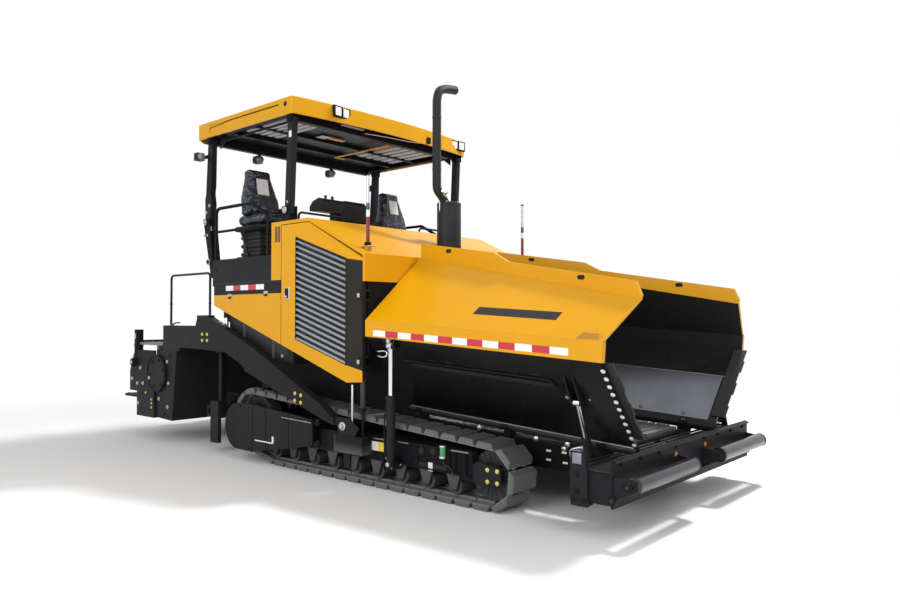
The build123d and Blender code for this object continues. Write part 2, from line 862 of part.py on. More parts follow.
seat_inner_y = seat_outer_y - seat_width
pan_top = deck_level + seat_pan_height + seat_pan_thickness
back_top = deck_level + seat_back_top
with BuildPart() as seat_frames:
    block(
        (seat_rear - 20, seat_rear + seat_depth - 40),
        (-seat_outer_y, -seat_inner_y),
        (deck_level, deck_level + 300),
    )
    block(
        (seat_rear + 20, seat_rear + seat_depth - 80),
        (-seat_outer_y + 40, -seat_inner_y - 40),
        (deck_level + 300, deck_level + seat_pan_height - 40),
    )
    block(
        (seat_rear, seat_rear + seat_depth - 40),
        (-seat_outer_y + 20, -seat_inner_y - 20),
        (deck_level + seat_pan_height - 40, deck_level + seat_pan_height),
    )
    mirrored()
save("seat_frames", seat_frames.part)

with BuildPart() as seat_cushions:
    seat_y_span = (-seat_outer_y, -seat_inner_y)
    block((seat_rear + 10, seat_rear + seat_depth), seat_y_span, (deck_level + seat_pan_height + seat_gap, pan_top))
    slab(
        [
            (seat_rear, pan_top - 20),
            (seat_rear + seat_back_thickness + 10, pan_top - 20),
            (seat_rear + seat_back_thickness, back_top - 10),
            (seat_rear + 30, back_top),
        ],
        *seat_y_span,
    )
    mirrored()
save("seat_cushions", seat_cushions.part)

console_top = deck_level + console_height + console_panel
pedestal_span = (console_x - console_half_depth / 2, console_x + console_half_depth / 2)
with BuildPart() as console:
    block(pedestal_span, console_foot_span, (deck_level, console_top - console_panel * 0.8))
    slab(
        [(console_x + console_half_depth * x, console_top - console_panel * z) for x, z in console_profile],
        *console_span,
    )
save("console", console.part)

rail_middle = platform_wall_top + (rail_top - platform_wall_top) * 0.546
with BuildPart() as guard_rails:
    rear_leg_x = platform_rear + 36
    front_leg_x = strip_rear_x - 82
    bent_tube(
        [
            (rear_leg_x, -rail_y, platform_wall_top),
            (rear_leg_x, -rail_y, rail_top),
            (rear_leg_x + 640, -rail_y, rail_top),
            (front_leg_x, -rail_y, rail_top - 145),
            (front_leg_x, -rail_y, platform_wall_top),
        ],
        rail_radius,
        60,
    )
    bar((rear_leg_x, -rail_y, rail_middle), (front_leg_x, -rail_y, rail_middle), rail_radius * 0.8)
    hood_rail_x = strip_rear_x + 238
    hood_rail_span = (-body_half + 140, -body_half + 690)
    bent_tube(
        [
            (hood_rail_x, hood_rail_span[0], hood_high),
            (hood_rail_x, hood_rail_span[0], hood_rail_top),
            (hood_rail_x, hood_rail_span[1], hood_rail_top),
            (hood_rail_x, hood_rail_span[1], hood_high),
        ],
        hood_rail_radius,
        40,
    )
    mirrored()
save("guard_rails", guard_rails.part)

with BuildPart() as position_poles:
    upright(pole_x, -pole_y, pole_radius, pole_foot_z, pole_top_z)
    mirrored()
save("position_poles", position_poles.part)

with BuildPart() as exhaust:
    upright(exhaust_x, muffler_y, muffler_radius, muffler_low, muffler_high)
    upright(exhaust_x, muffler_y, riser_radius, engine_top, muffler_low)
    bent_tube(
        [
            (exhaust_x, muffler_y, muffler_high - 10),
            (exhaust_x, muffler_y - 20, muffler_high + 60),
            (exhaust_x, pipe_y, pipe_elbow_z),
            (exhaust_x, pipe_y, pipe_straight_top),
            (exhaust_x, pipe_outlet_y, pipe_outlet_z),
        ],
        pipe_radius,
        pipe_bend,
    )
save("exhaust", exhaust.part)

# --- canopy ---
fork_outer = post_y + post_width / 2 + ear_gap + fork_plate
fork_inner = post_y - post_width / 2 - ear_gap - fork_plate
fork_plates = ((-fork_outer, -fork_outer + fork_plate), (-fork_inner - fork_plate, -fork_inner))
bracket_high = post_pivot_low + 40
post_low = post_pivot_low - 32
with BuildPart() as canopy_brackets:
    rear_arm = [
        (post_rear_x + 100, platform_wall_top - 160),
        (platform_rear - 1, platform_wall_top - 160),
        (post_rear_x + fork_half_depth, bracket_high),
        (post_rear_x - fork_half_depth, bracket_high),
    ]
    for y_span in fork_plates:
        slab(rear_arm, *y_span)
        block((post_front_x - fork_half_depth, post_front_x + fork_half_depth), y_span, (hood_high, bracket_high))
    # the rear arm is a box below the post's foot
    slab(rear_arm, -fork_outer, -fork_inner)
    block((post_rear_x - 200, post_rear_x + 200), (-fork_outer + fork_plate, -fork_inner - fork_plate), (post_low - 60, bracket_high + 1), Mode.SUBTRACT)
    block((post_rear_x + 100, platform_rear), (-fork_outer, -fork_inner), (deck_level + 60, deck_level + 210))
    for x in (post_front_x, post_rear_x):
        crosswise(x, post_pivot_low, canopy_pin_radius, -fork_outer - 4, -fork_inner + 4)
    mirrored()
save("canopy_brackets", canopy_brackets.part)


def post_pins(x):
    """Bores both pivots of a post."""
    for pivot_x, pivot_z in ((x, post_pivot_low), (x + post_lean, post_pivot_high)):
        crosswise(
            pivot_x,
            pivot_z,
            canopy_pin_radius + slip_gap,
            -post_y - post_width / 2 - 1,
            -post_y + post_width / 2 + 1,
            Mode.SUBTRACT,
        )


post_y_span = (-post_y - post_width / 2, -post_y + post_width / 2)
half_depth = post_depth / 2
post_top = post_pivot_high + 16
with BuildPart() as front_posts:
    slab(
        [
            (post_front_x - half_depth, post_low),
            (post_front_x + half_depth, post_low),
            (post_front_x + post_lean + half_depth, post_top),
            (post_front_x + post_lean - half_depth, post_top),
        ],
        *post_y_span,
    )
    post_pins(post_front_x)
    mirrored()
save("canopy_front_posts", front_posts.part)

with BuildPart() as rear_posts:
    slab(
        [
            (post_rear_x - half_depth, post_low),
            (post_rear_x + half_depth, post_low),
            (post_rear_x + half_depth + 45, post_knee_z - 60),
            (post_rear_x + half_depth + 20, post_knee_z + 60),
            (post_rear_x + post_lean + half_depth - 10, post_knee_z + 150),
            (post_rear_x + post_lean + half_depth, post_top),
            (post_rear_x + post_lean - half_depth, post_top),
            (post_rear_x - half_depth + 5, post_knee_z + 60),
            (post_rear_x - half_depth - 12, post_knee_z),
        ],
        *post_y_span,
    )
    # work lamp on its bracket
    lamp_y = -post_y - post_width / 2 - 16
    block(
        (post_rear_x - 120, post_rear_x + post_lean - half_depth + 10),
        (lamp_y, -post_y - post_width / 2 + 10),
        (post_lamp_z - 15, post_lamp_z + 15),
    )
    block(
        (post_rear_x - 120, post_rear_x - 120 + work_lamp),
        (lamp_y - work_lamp, lamp_y),
        (post_lamp_z - work_lamp / 2, post_lamp_z + work_lamp / 2),
    )
    post_pins(post_rear_x)
    mirrored()
save("canopy_rear_posts", rear_posts.part)

lamp_z_span = (roof_high - 14 - lamp_height, roof_high - 14)


def roof_edge_x(y):
    """Front edge of the roof, an arc over its whole width."""
    radius = (roof_half**2 + roof_bulge**2) / (2 * roof_bulge)
    return roof_front + roof_bulge - radius + sqrt(radius**2 - y**2)


with BuildPart() as roof:
    with BuildSketch(Plane.XY.offset(roof_low)) as roof_outline:
        with BuildLine():
            Polyline(
                (roof_front, -roof_half),
                (roof_rear + roof_corner, -roof_half),
                (roof_rear, -roof_half + roof_corner),
                (roof_rear, roof_half - roof_corner),
                (roof_rear + roof_corner, roof_half),
                (roof_front, roof_half),
            )
            ThreePointArc((roof_front, roof_half), (roof_front + roof_bulge, 0), (roof_front, -roof_half))
        make_face()
        fillet(roof_outline.vertices().sort_by(Axis.X)[-2:], roof_front_radius)
    extrude(amount=roof_high - roof_low)
    top_edges = roof.faces().sort_by(Axis.Z)[-1].edges()
    fillet(top_edges, 12)
    with BuildSketch(Plane.XY.offset(roof_low)):
        offset(roof_outline.sketch, amount=-roof_sheet)
    extrude(amount=roof_high - roof_low - roof_sheet, mode=Mode.SUBTRACT)
    # pressed panel in each side
    for side in (-1, 1):
        block(
            (roof_rear + 340, roof_front - 195),
            (side * (roof_half - recess_depth), side * (roof_half + 1)),
            (roof_low + 40, roof_high - 45),
            Mode.SUBTRACT,
        )
    # pockets of the front lamps
    for y in lamp_pair_y:
        edge = roof_edge_x(y)
        pocket = lamp_pair_half + seat_gap
        block(
            (edge - lamp_depth - seat_gap, roof_front + roof_bulge + 1),
            (y - pocket, y + pocket),
            (lamp_z_span[0] - seat_gap, lamp_z_span[1] + seat_gap),
            Mode.SUBTRACT,
        )
save("roof", roof.part)

with BuildPart() as roof_frame:
    frame_rear = roof_rear + roof_corner + 20
    frame_front = roof_front - roof_sheet - 60
    beam_z_span = (roof_low + 14, roof_high - roof_sheet)
    block((frame_rear, frame_front), (-fork_outer, -fork_inner), beam_z_span)
    for x in (post_front_x + post_lean, post_rear_x + post_lean):
        for y_span in fork_plates:
            block((x - 38, x + 38), y_span, (post_pivot_high - 30, roof_low + 60))
        crosswise(x, post_pivot_high, canopy_pin_radius, -fork_outer - 4, -fork_inner + 4)
    for x in (frame_rear, frame_front - 60):
        block((x, x + 60), (-fork_inner, 0), (roof_low - 40, roof_high - roof_sheet))
    # ribs across the ceiling
    for share in (0.27, 0.54):
        x = frame_rear + (frame_front - frame_rear) * share
        block((x, x + 40), (-fork_inner, 0), beam_z_span)
    mirrored()
save("roof_frame", roof_frame.part)

with BuildPart() as lamps:
    for y in lamp_pair_y:
        edge = roof_edge_x(y)
        block((edge - lamp_depth, edge), (y - lamp_pair_half, y + lamp_pair_half), lamp_z_span)
    # work lamps under the roof
    for y in (-work_lamp_y, work_lamp_y):
        lamp_top = roof_low - 60
        block(
            (work_lamp_x - work_lamp, work_lamp_x),
            (y - work_lamp / 2, y + work_lamp / 2),
            (lamp_top - work_lamp, lamp_top),
        )
        block((work_lamp_x - 30, work_lamp_x), (y - 12, y + 12), (lamp_top - 1, roof_low - 40 - seat_gap))
save("lamps", lamps.part)

# --- hopper wings ---
wing_outline = [
    (wing_rear_x, wing_lower_front[0][1]),
    *wing_lower_front,
    (wing_nose_x, wing_nose_z),
    (rim_front_x, rim_front_z),
    rim_step_front,
    rim_step_rear,
    (wing_rear_x, rim_rear_z),
]
loft_x = (wing_rear_x - 50.0, wing_nose_x + 50.0)


def section_loft(section_points):
    """Lofts a straight-sided section along the whole wing."""
    sections = []
    for x in loft_x:
        with BuildSketch(Plane.YZ.offset(x)) as section:
            with BuildLine():
                Polyline(*section_points(x), close=True)
            make_face()
        sections.append(section.sketch)
    loft(sections, ruled=True)


def lip_z(x):
    """Top of the upright lip along the lower plate's outer edge."""
    return hinge_z(x) + wing_edge_rise + wing_lip


def crease_z(x):
    """Height at which the leaning panel turns up into the rim."""
    return lip_z(wing_rear_x) + top_panel_rise - (x - wing_rear_x) * top_panel_drop


def lower_plate_points(x):
    """Lower plate of the wing: a flat plate from the hinge up to its outer edge, and a lip."""
    z = hinge_z(x)
    return [
        (-hinge_y, z),
        (-wing_edge_y, z + wing_edge_rise),
        (-wing_edge_y, lip_z(x)),
        (-wing_edge_y + wing_plate, lip_z(x)),
        (-wing_edge_y + wing_plate, z + wing_edge_rise + wing_plate * (1 - sin(plate_angle)) / cos(plate_angle)),
        (-hinge_y - plate_out[0] * wing_plate, z - plate_out[1] * wing_plate),
    ]


def top_panel_points(x):
    """Upper panel of the wing: it leans in from the lip up to the upright rim."""
    low = lip_z(x) + seat_gap
    high = crease_z(x)
    rim_y = -wing_edge_y + (high - low) / tan(radians(top_panel_slope))
    return [
        (-wing_edge_y, low),
        (rim_y, high),
        (rim_y, high + rim_stock),
        (rim_y + wing_plate, high + rim_stock),
        (rim_y + wing_plate, high - wing_plate * 0.4),
        (-wing_edge_y + wing_plate, low),
    ]


def eye_ears(name):
    """Adds the wing's two ears beside a cylinder's rod eye."""
    eye = eye_point(name)
    along = wing_cylinders[name][3]
    # columns: distance up the plate from the hinge, distance out from its outer face
    corners = (
        (along - 45, -5),
        (along + ear_length[name], -5),
        (along + 18, ear_reach),
        (along - 18, ear_reach),
    )
    outline = [
        (
            -hinge_y + up * plate_up[0] + out * plate_out[0],
            hinge_z(eye.X) + up * plate_up[1] + out * plate_out[1],
        )
        for up, out in corners
    ]
    for x in (eye.X - eye_half_width - ear_gap - ear_plate, eye.X + eye_half_width + ear_gap):
        with BuildSketch(Plane.YZ.offset(x)) as profile:
            with BuildLine():
                Polyline(*outline, close=True)
            make_face()
        extrude(profile.sketch, amount=ear_plate)


# outer face of the lower plate: local X runs forward from the rear edge, local Y up the plate
plate_plane = Plane(
    origin=(wing_rear_x, -hinge_y, hinge_z(wing_rear_x)),
    x_dir=(1, 0, hinge_slope),
    z_dir=(hinge_slope * cos(plate_angle), plate_out[0], plate_out[1]),
)
lean = radians(top_panel_slope)
# outer face of the upper panel: local X runs forward along the lip, local Y up the panel
panel_plane = Plane(
    origin=(wing_rear_x, -wing_edge_y, lip_z(wing_rear_x)),
    x_dir=(1, 0, hinge_slope),
    z_dir=(-hinge_slope * cos(lean), -sin(lean), cos(lean)),
)

with BuildPart() as wing_plates:
    section_loft(lower_plate_points)
    along_hinge(*loft_x, hinge_tube_radius)
    slab(wing_outline, -wing_edge_y - 1, 0, Mode.INTERSECT)
    with BuildSketch(plate_plane) as stiffener_face:
        with Locations((sum(stiffener_span) / 2, stiffener_rise)):
            Rectangle(stiffener_span[1] - stiffener_span[0], stiffener_width)
    extrude(stiffener_face.sketch, amount=stiffener)
    eye_ears("rear")
    eye_ears("front")
    for x in hinge_lug_x:
        reach = hinge_lug_width / 2 + ear_gap
        along_hinge(x - reach, x + reach, hinge_tube_radius + ear_gap, Mode.SUBTRACT)
        along_hinge(x - hinge_pin_reach - 2, x + hinge_pin_reach + 2, hinge_pin_radius + slip_gap, Mode.SUBTRACT)
save_sides("wing", wing_plates.part)

press_top = top_panel_rise / sin(lean) - press_margin
press_fall = (top_panel_drop + hinge_slope) / sin(lean)
with BuildPart() as wing_panels:
    section_loft(top_panel_points)
    slab(wing_outline, -wing_edge_y - 1, 0, Mode.INTERSECT)
    # shallow pressed field
    with BuildSketch(panel_plane) as press:
        with BuildLine():
            Polyline(
                (press_span[0], press_margin),
                (press_span[1] - 120, press_margin),
                (press_span[1], press_top - press_span[1] * press_fall),
                (press_span[0], press_top - press_span[0] * press_fall),
                close=True,
            )
        make_face()
    extrude(press.sketch, amount=-press_depth, mode=Mode.SUBTRACT)
    for x, z in rim_holes:
        with BuildSketch(Plane(origin=(x, 0, z), x_dir=(1, 0, hinge_slope), z_dir=(0, -1, 0))) as hole:
            SlotOverall(*rim_hole)
        extrude(hole.sketch, amount=wing_edge_y, mode=Mode.SUBTRACT)
save_sides("wing_panel", wing_panels.part)

# rubber flap along the front edge of the lower plate, on its inner face
flap_inner = wing_lower_front[0][0] - wing_rear_x - flap_overlap
flap_outer = wing_lower_front[0][0] - wing_rear_x + flap_reach
flap_low = hinge_tube_radius + 60
step_height = (plate_length - flap_low - 40) / flap_step_count
flap_outline = [(flap_inner, flap_low)]
for index in range(flap_step_count):
    edge = flap_outer - flap_step * (index % 2)
    flap_outline += [(edge, flap_low + index * step_height), (edge, flap_low + (index + 1) * step_height)]
flap_outline.append((flap_inner, flap_low + flap_step_count * step_height))
with BuildPart() as wing_flap:
    with BuildSketch(plate_plane.offset(-wing_plate - seat_gap)):
        with BuildLine():
            Polyline(*flap_outline, close=True)
        make_face()
    extrude(amount=-flap_thickness)
save_sides("wing_flap", wing_flap.part)

for name, (_, _, _, _, _, barrel, rod_start, barrel_radius, rod_radius) in wing_cylinders.items():
    foot = foot_point(name)
    eye = eye_point(name)
    along = (eye - foot).normalized()
    with BuildPart() as wing_barrel:
        bar(tuple(foot - along * 20), tuple(foot + along * barrel), barrel_radius)
        bar(
            tuple(foot + along * 60),
            tuple(foot + along * (barrel + 1)),
            rod_radius + slip_gap,
            Mode.SUBTRACT,
        )
        foot_pin(name, pin_radius + slip_gap, Mode.SUBTRACT)
    save_sides(f"wing_barrel_{name}", wing_barrel.part)
    with BuildPart() as wing_rod:
        bar(tuple(foot + along * rod_start), tuple(eye), rod_radius)
        bar(
            tuple(eye - hinge_direction * eye_half_width),
            tuple(eye + hinge_direction * eye_half_width),
            rod_radius + 8,
        )
    save_sides(f"wing_rod_{name}", wing_rod.part)

with BuildPart() as hopper_floor:
    block((chassis_rear, beam_rear_x), (-frame_half + frame_plate, 0), (floor_top - floor_plate, floor_top))
    mirrored()
save("hopper_floor", hopper_floor.part)

with BuildPart() as conveyors:
    block(
        (chassis_rear, beam_rear_x - 60),
        (-tunnel_half, -conveyor_gap / 2),
        (floor_top, floor_top + conveyor_height),
    )
    mirrored()
save("conveyors", conveyors.part)

# --- front beam and push rollers ---
bracket_gap = 5.0
bracket_plate = 20.0
with BuildPart() as front_beam:
    block((beam_rear_x, beam_front_x - 60), (-beam_half, 0), (beam_low, beam_high))
    # apron behind the rollers
    block(
        (beam_front_x - 60, beam_front_x - 60 + apron_thickness),
        (-beam_half, 0),
        (beam_low - 20, beam_high + 90),
    )
    # end plate with its lashing eye
    slab(
        [
            (lashing_eye_x - 50, end_plate_low),
            (lashing_eye_x + 75, end_plate_low),
            (lashing_eye_x + 75, beam_high),
            (lashing_eye_x + 50, end_plate_high),
            (lashing_eye_x - 50, end_plate_high),
        ],
        -beam_half - end_plate_thickness,
        -beam_half,
    )
    crosswise(
        lashing_eye_x,
        lashing_eye_z,
        lashing_eye_radius,
        -beam_half - end_plate_thickness - 1,
        -beam_half + 1,
        Mode.SUBTRACT,
    )
    for y in (-roller_outer_y - bracket_gap - bracket_plate, -roller_inner_y + bracket_gap):
        slab(
            [
                (beam_front_x - 100, beam_low),
                (roller_axis_x + 25, roller_axis_z - 30),
                (roller_axis_x + 25, roller_axis_z + 30),
                (beam_front_x - 100, beam_high),
            ],
            y,
            y + bracket_plate,
        )
    crosswise(
        roller_axis_x,
        roller_axis_z,
        roller_shaft + slip_gap,
        -roller_outer_y - bracket_gap - bracket_plate - 1,
        -roller_inner_y + bracket_gap + bracket_plate + 1,
        Mode.SUBTRACT,
    )
    mirrored()
save("front_beam", front_beam.part)

shaft_reach = bracket_gap + bracket_plate - 1
with BuildPart() as push_roller:
    crosswise(roller_axis_x, roller_axis_z, roller_radius, -roller_outer_y, -roller_inner_y)
    crosswise(roller_axis_x, roller_axis_z, roller_shaft, -roller_outer_y - shaft_reach, -roller_inner_y + shaft_reach)
save_sides("push_roller", push_roller.part)

# --- augers and their frame ---
auger_beam_x = (auger_x + 170, auger_x + 250)
bearing_y = (-auger_outer_y - 70, -auger_outer_y - 5)
with BuildPart() as auger_frame:
    block(auger_beam_x, (-auger_outer_y - 110, 0), (auger_beam_low, auger_beam_high))
    # drive box in the middle and its hanger
    block(
        (auger_x - 50, auger_beam_x[1]),
        (-auger_inner_y + 10, 0),
        (auger_z - 100, auger_z + 100),
    )
    block((auger_x + 150, auger_beam_x[1]), (-50, 0), (auger_z + 100, auger_beam_low))
    block((auger_beam_x[1], chassis_rear), (-frame_half, -frame_half + frame_plate), (tunnel_top - 100, auger_beam_high))
    # outer bearing, its hanger and end plate
    block((auger_x - 50, auger_beam_x[1] - 20), bearing_y, (auger_z - 60, auger_z + 60))
    block((auger_beam_x[0], auger_beam_x[1] - 20), bearing_y, (auger_z + 60, auger_beam_low))
    block(
        (auger_x + 80, auger_beam_x[1] - 20),
        (bearing_y[0] - 40, bearing_y[0]),
        (auger_end_low, auger_z + 120),
    )
    crosswise(auger_x, auger_z, auger_shaft + slip_gap, bearing_y[0] - 10, bearing_y[1] + 10, Mode.SUBTRACT)
    crosswise(auger_x, auger_z, auger_shaft + slip_gap, -auger_inner_y - 10, 1, Mode.SUBTRACT)
    mirrored()
save("auger_frame", auger_frame.part)

with BuildPart() as auger:
    crosswise(auger_x, auger_z, auger_shaft, -auger_outer_y - 40, -auger_inner_y + 40)
    centre = Vector(auger_x, -auger_inner_y - 45, auger_z)
    helix = Helix(
        pitch=auger_pitch,
        height=auger_pitch * auger_turns,
        radius=auger_shaft - 3,
        center=tuple(centre),
        direction=(0, -1, 0),
    )
    flight_height = auger_radius - auger_shaft + 3
    radial = (helix @ 0 - centre).normalized()
    with BuildSketch(Plane(origin=helix @ 0, x_dir=radial, z_dir=helix % 0)) as flight:
        with Locations((flight_height / 2, 0)):
            Rectangle(flight_height, auger_flight)
    sweep(flight.sketch, path=helix, is_frenet=True)
save_sides("auger", auger.part)

# --- screed ---
cross_top = screed_high + cross_plate
# columns: x, z
arm_outline = [
    (arm_rear_x, 1344),
    (-1720, 1344),
    (-1680, 1440),
    (-1480, 1440),
    (-600, 1118),
    (415, 658),
    (560, 560),
    (tow_pin_x + 60, tow_pin_z + 60),
    (tow_pin_x + 60, tow_pin_z - 50),
    (455, 525),
    (-770, 900),
    (-830, 960),
    (-1130, 1075),
    (-1528, 1091),
    (cross_front_x, cross_top),
    (arm_rear_x, cross_top),
]
with BuildPart() as tow_arms:
    slab(arm_outline, -body_half, -arm_inner_y)
    for y_span in ((-body_half - 1, -tow_eye_outer_y), (-tow_eye_inner_y, -arm_inner_y + 1)):
        block((tow_foot[0] - 10, tow_pin_x + 163), y_span, (300, 700), Mode.SUBTRACT)
    crosswise(tow_pin_x, tow_pin_z, tow_pin_radius + slip_gap, -body_half - 1, -arm_inner_y + 1, Mode.SUBTRACT)
    mirrored()
save("tow_arms", tow_arms.part)

screed_outline = [
    (screed_split_x + 5, screed_low + 10),
    (screed_front_x, screed_low - 4),
    (screed_top_front_x, screed_high),
    (screed_split_x + 5, screed_high),
]
with BuildPart() as screed:
    slab(screed_outline, -screed_half, 0)
    block((arm_rear_x, cross_front_x), (-body_half, 0), (screed_high, cross_top))
    block(
        (screed_split_x, screed_front_x - screed_wall),
        (-screed_half + screed_wall, -20),
        (screed_low + 60, screed_high - screed_wall),
        Mode.SUBTRACT,
    )
    crosswise(guide_x, guide_z, guide_radius + slip_gap, -screed_half - 1, 0, Mode.SUBTRACT)
    mirrored()
save("screed", screed.part)

split_inner = screed_split_x - 5
plate_span = (-screed_half - end_plate, -screed_half)
with BuildPart() as screed_extension:
    block((screed_rear_x, split_inner), (-screed_half, -5), (screed_low, extension_high))
    block(
        (screed_rear_x + screed_wall, screed_split_x),
        (-screed_half + screed_wall, -5 - screed_wall),
        (screed_low + 60, extension_high - screed_wall),
        Mode.SUBTRACT,
    )
    slab(
        [
            (split_inner, screed_low),
            (screed_rear_x, screed_low),
            (screed_rear_x, extension_nose[0][1]),
            *extension_nose,
            (gate_post_x + 80, screed_high - 10),
            (split_inner, screed_high - 10),
        ],
        *plate_span,
    )
    # guide tube under its round flange
    crosswise(guide_x, guide_z, guide_radius, -screed_half - end_plate, -30)
    crosswise(guide_x - 80, guide_z, guide_flange, plate_span[0], plate_span[1] - 5)
    # gate post and rear foot step
    upright(gate_post_x, -screed_half + 15, gate_post_radius, screed_high - 160, gate_post_top)
    block((gate_post_x - 50, gate_post_x + 60), (-screed_half, -screed_half + 60), (extension_high - 100, screed_high - 160))
    block((foot_step_rear_x, screed_rear_x), (-screed_half + 35, -150), (foot_step_z - 15, foot_step_z + 15))
    for x in gate_bolt_x:
        for z in gate_bolt_z:
            crosswise(x, z, gate_bolt_radius, plate_span[0] - 1, -screed_half + screed_wall + 1, Mode.SUBTRACT)
save_sides("screed_extension", screed_extension.part)

walkway_z = screed_high + walkway_rise
with BuildPart() as walkway:
    block((screed_rear_x + 10, arm_rear_x - 40), (-screed_half, 0), (walkway_z - 30, walkway_z))
    block((screed_split_x + 5, screed_split_x + 40), (-screed_half, 0), (screed_high, walkway_z - 30))
    bent_tube(
        [
            (screed_rear_x + 30, -screed_rail_y, walkway_z),
            (screed_rear_x + 30, -screed_rail_y, screed_rail_top),
            (cross_front_x - 40, -screed_rail_y, screed_rail_top),
            (cross_front_x - 40, -screed_rail_y, cross_top + seat_gap),
        ],
        screed_rail_radius,
        50,
    )
    mirrored()
save("screed_walkway", walkway.part)

with BuildPart() as lift_barrel:
    upright(lift_x, -lift_y, lift_barrel_radius, lift_barrel_low, lift_pivot_z + 25)
    upright(lift_x, -lift_y, lift_rod_radius + slip_gap, lift_barrel_low - 1, lift_pivot_z - 20, Mode.SUBTRACT)
    crosswise(lift_x, lift_pivot_z, pin_radius + slip_gap, -lift_y - 60, -lift_y + 60, Mode.SUBTRACT)
    mirrored()
save("lift_barrels", lift_barrel.part)

with BuildPart() as lift_rod:
    upright(lift_x, -lift_y, lift_rod_radius, lift_rod_low, lift_rod_high)
    crosswise(lift_x, lift_rod_low, 30, -arm_inner_y + 8, -lift_y + 25)
    mirrored()
save("lift_rods", lift_rod.part)
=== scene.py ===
"""Dresses the tracked asphalt paver: finishes, fittings, upholstery, studio and camera."""

import logging
from dataclasses import dataclass
from enum import Enum
from typing import Callable
from math import atan2, cos, degrees, pi, radians, sin

import bmesh
import bpy
from mathutils import Matrix, Vector


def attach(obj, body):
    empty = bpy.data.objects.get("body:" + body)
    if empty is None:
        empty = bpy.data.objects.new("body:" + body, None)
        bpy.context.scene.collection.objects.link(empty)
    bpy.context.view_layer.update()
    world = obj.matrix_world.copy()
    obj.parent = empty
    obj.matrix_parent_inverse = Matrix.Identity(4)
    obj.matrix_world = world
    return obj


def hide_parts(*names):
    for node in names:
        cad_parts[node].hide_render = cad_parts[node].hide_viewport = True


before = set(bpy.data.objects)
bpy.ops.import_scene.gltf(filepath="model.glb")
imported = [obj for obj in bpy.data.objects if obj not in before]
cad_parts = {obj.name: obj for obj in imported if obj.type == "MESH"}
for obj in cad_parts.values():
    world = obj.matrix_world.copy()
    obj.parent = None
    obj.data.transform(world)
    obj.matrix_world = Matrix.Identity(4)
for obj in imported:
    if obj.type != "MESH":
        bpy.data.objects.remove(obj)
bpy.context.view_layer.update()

log = logging.getLogger("paver")
logging.basicConfig(level=logging.INFO, format="%(name)s: %(message)s")

Point = tuple[float, float, float]
Span = tuple[float, float]
Colour = tuple[float, float, float]
Feed = float | Colour | bpy.types.NodeSocket


class Side(Enum):
    """Which side of the machine a piece stands on, as the sign of Y."""

    RIGHT = -1
    LEFT = 1

    @property
    def word(self) -> str:
        """Name used in pieces and bodies."""
        return self.name.lower()


class Axis(Enum):
    """Main directions, as unit vectors."""

    X = (1.0, 0.0, 0.0)
    Y = (0.0, 1.0, 0.0)
    Z = (0.0, 0.0, 1.0)


# --- node groups and finishes ---------------------------------------------------------------


def feed(tree: bpy.types.NodeTree, target: bpy.types.Node, feeds: dict[str | int, Feed]) -> None:
    """Feeds a node's inputs, each from a socket or with a number or colour."""
    for label, value in feeds.items():
        if isinstance(value, bpy.types.NodeSocket):
            tree.links.new(value, target.inputs[label])
        else:
            target.inputs[label].default_value = (*value, 1.0) if isinstance(value, tuple) else value


def node(
    tree: bpy.types.NodeTree, kind: str, feeds: dict[str | int, Feed] | None = None,
    **settings: str | bpy.types.NodeTree
) -> bpy.types.Node:
    """Adds a shader node.

    Args:
        tree: the tree that gets it.
        kind: its type, without "ShaderNode".
        feeds: what each of its inputs gets.
        settings: its own settings, such as an operation.

    Returns:
        The new node.
    """
    made = tree.nodes.new(f"ShaderNode{kind}")
    for label, value in settings.items():
        setattr(made, label, value)
    feed(tree, made, feeds or {})
    return made


def maths(tree: bpy.types.NodeTree, operation: str, *terms: Feed) -> bpy.types.NodeSocket:
    """Adds a calculation and returns its result."""
    return node(tree, "Math", dict(enumerate(terms)), operation=operation).outputs[0]


def spread(tree: bpy.types.NodeTree, value: Feed, low: float, high: float, **feeds: Feed) -> bpy.types.NodeSocket:
    """Maps a value from low and high to 0 and 1, or to what "to_min" and "to_max" say."""
    ends = {f"To {label[3:].title()}": end for label, end in feeds.items()}
    return node(tree, "MapRange", {"From Min": low, "From Max": high, **ends, "Value": value}).outputs["Result"]


def mix(tree: bpy.types.NodeTree, factor: Feed, first: Feed, second: Feed) -> bpy.types.NodeSocket:
    """Mixes two colours by a factor."""
    feeds = {"A": first, "B": second, "Factor": factor}
    return node(tree, "Mix", feeds, data_type="RGBA").outputs["Result"]


def place_in(tree: bpy.types.NodeTree) -> bpy.types.NodeSocket:
    """Gives the object coordinates."""
    return node(tree, "TexCoord").outputs["Object"]


def group_shell(
    name: str, inputs: dict[str, float | Colour], outputs: tuple[str, ...]
) -> tuple[bpy.types.NodeTree, bpy.types.NodeOutputs, bpy.types.Node]:
    """Makes an empty shader node group.

    Args:
        name: the group's name.
        inputs: input names with default values, a triple for a colour.
        outputs: output names; one that ends in "colour" is a colour.

    Returns:
        The new tree, what its inputs give, and the node that takes its outputs.
    """
    tree = bpy.data.node_groups.new(name, "ShaderNodeTree")
    for label, value in inputs.items():
        kind = "NodeSocketColor" if isinstance(value, tuple) else "NodeSocketFloat"
        socket = tree.interface.new_socket(label, in_out="INPUT", socket_type=kind)
        socket.default_value = (*value, 1.0) if isinstance(value, tuple) else value
    for label in outputs:
        kind = "NodeSocketColor" if label.endswith("colour") else "NodeSocketFloat"
        tree.interface.new_socket(label, in_out="OUTPUT", socket_type=kind)
    return tree, tree.nodes.new("NodeGroupInput").outputs, tree.nodes.new("NodeGroupOutput")


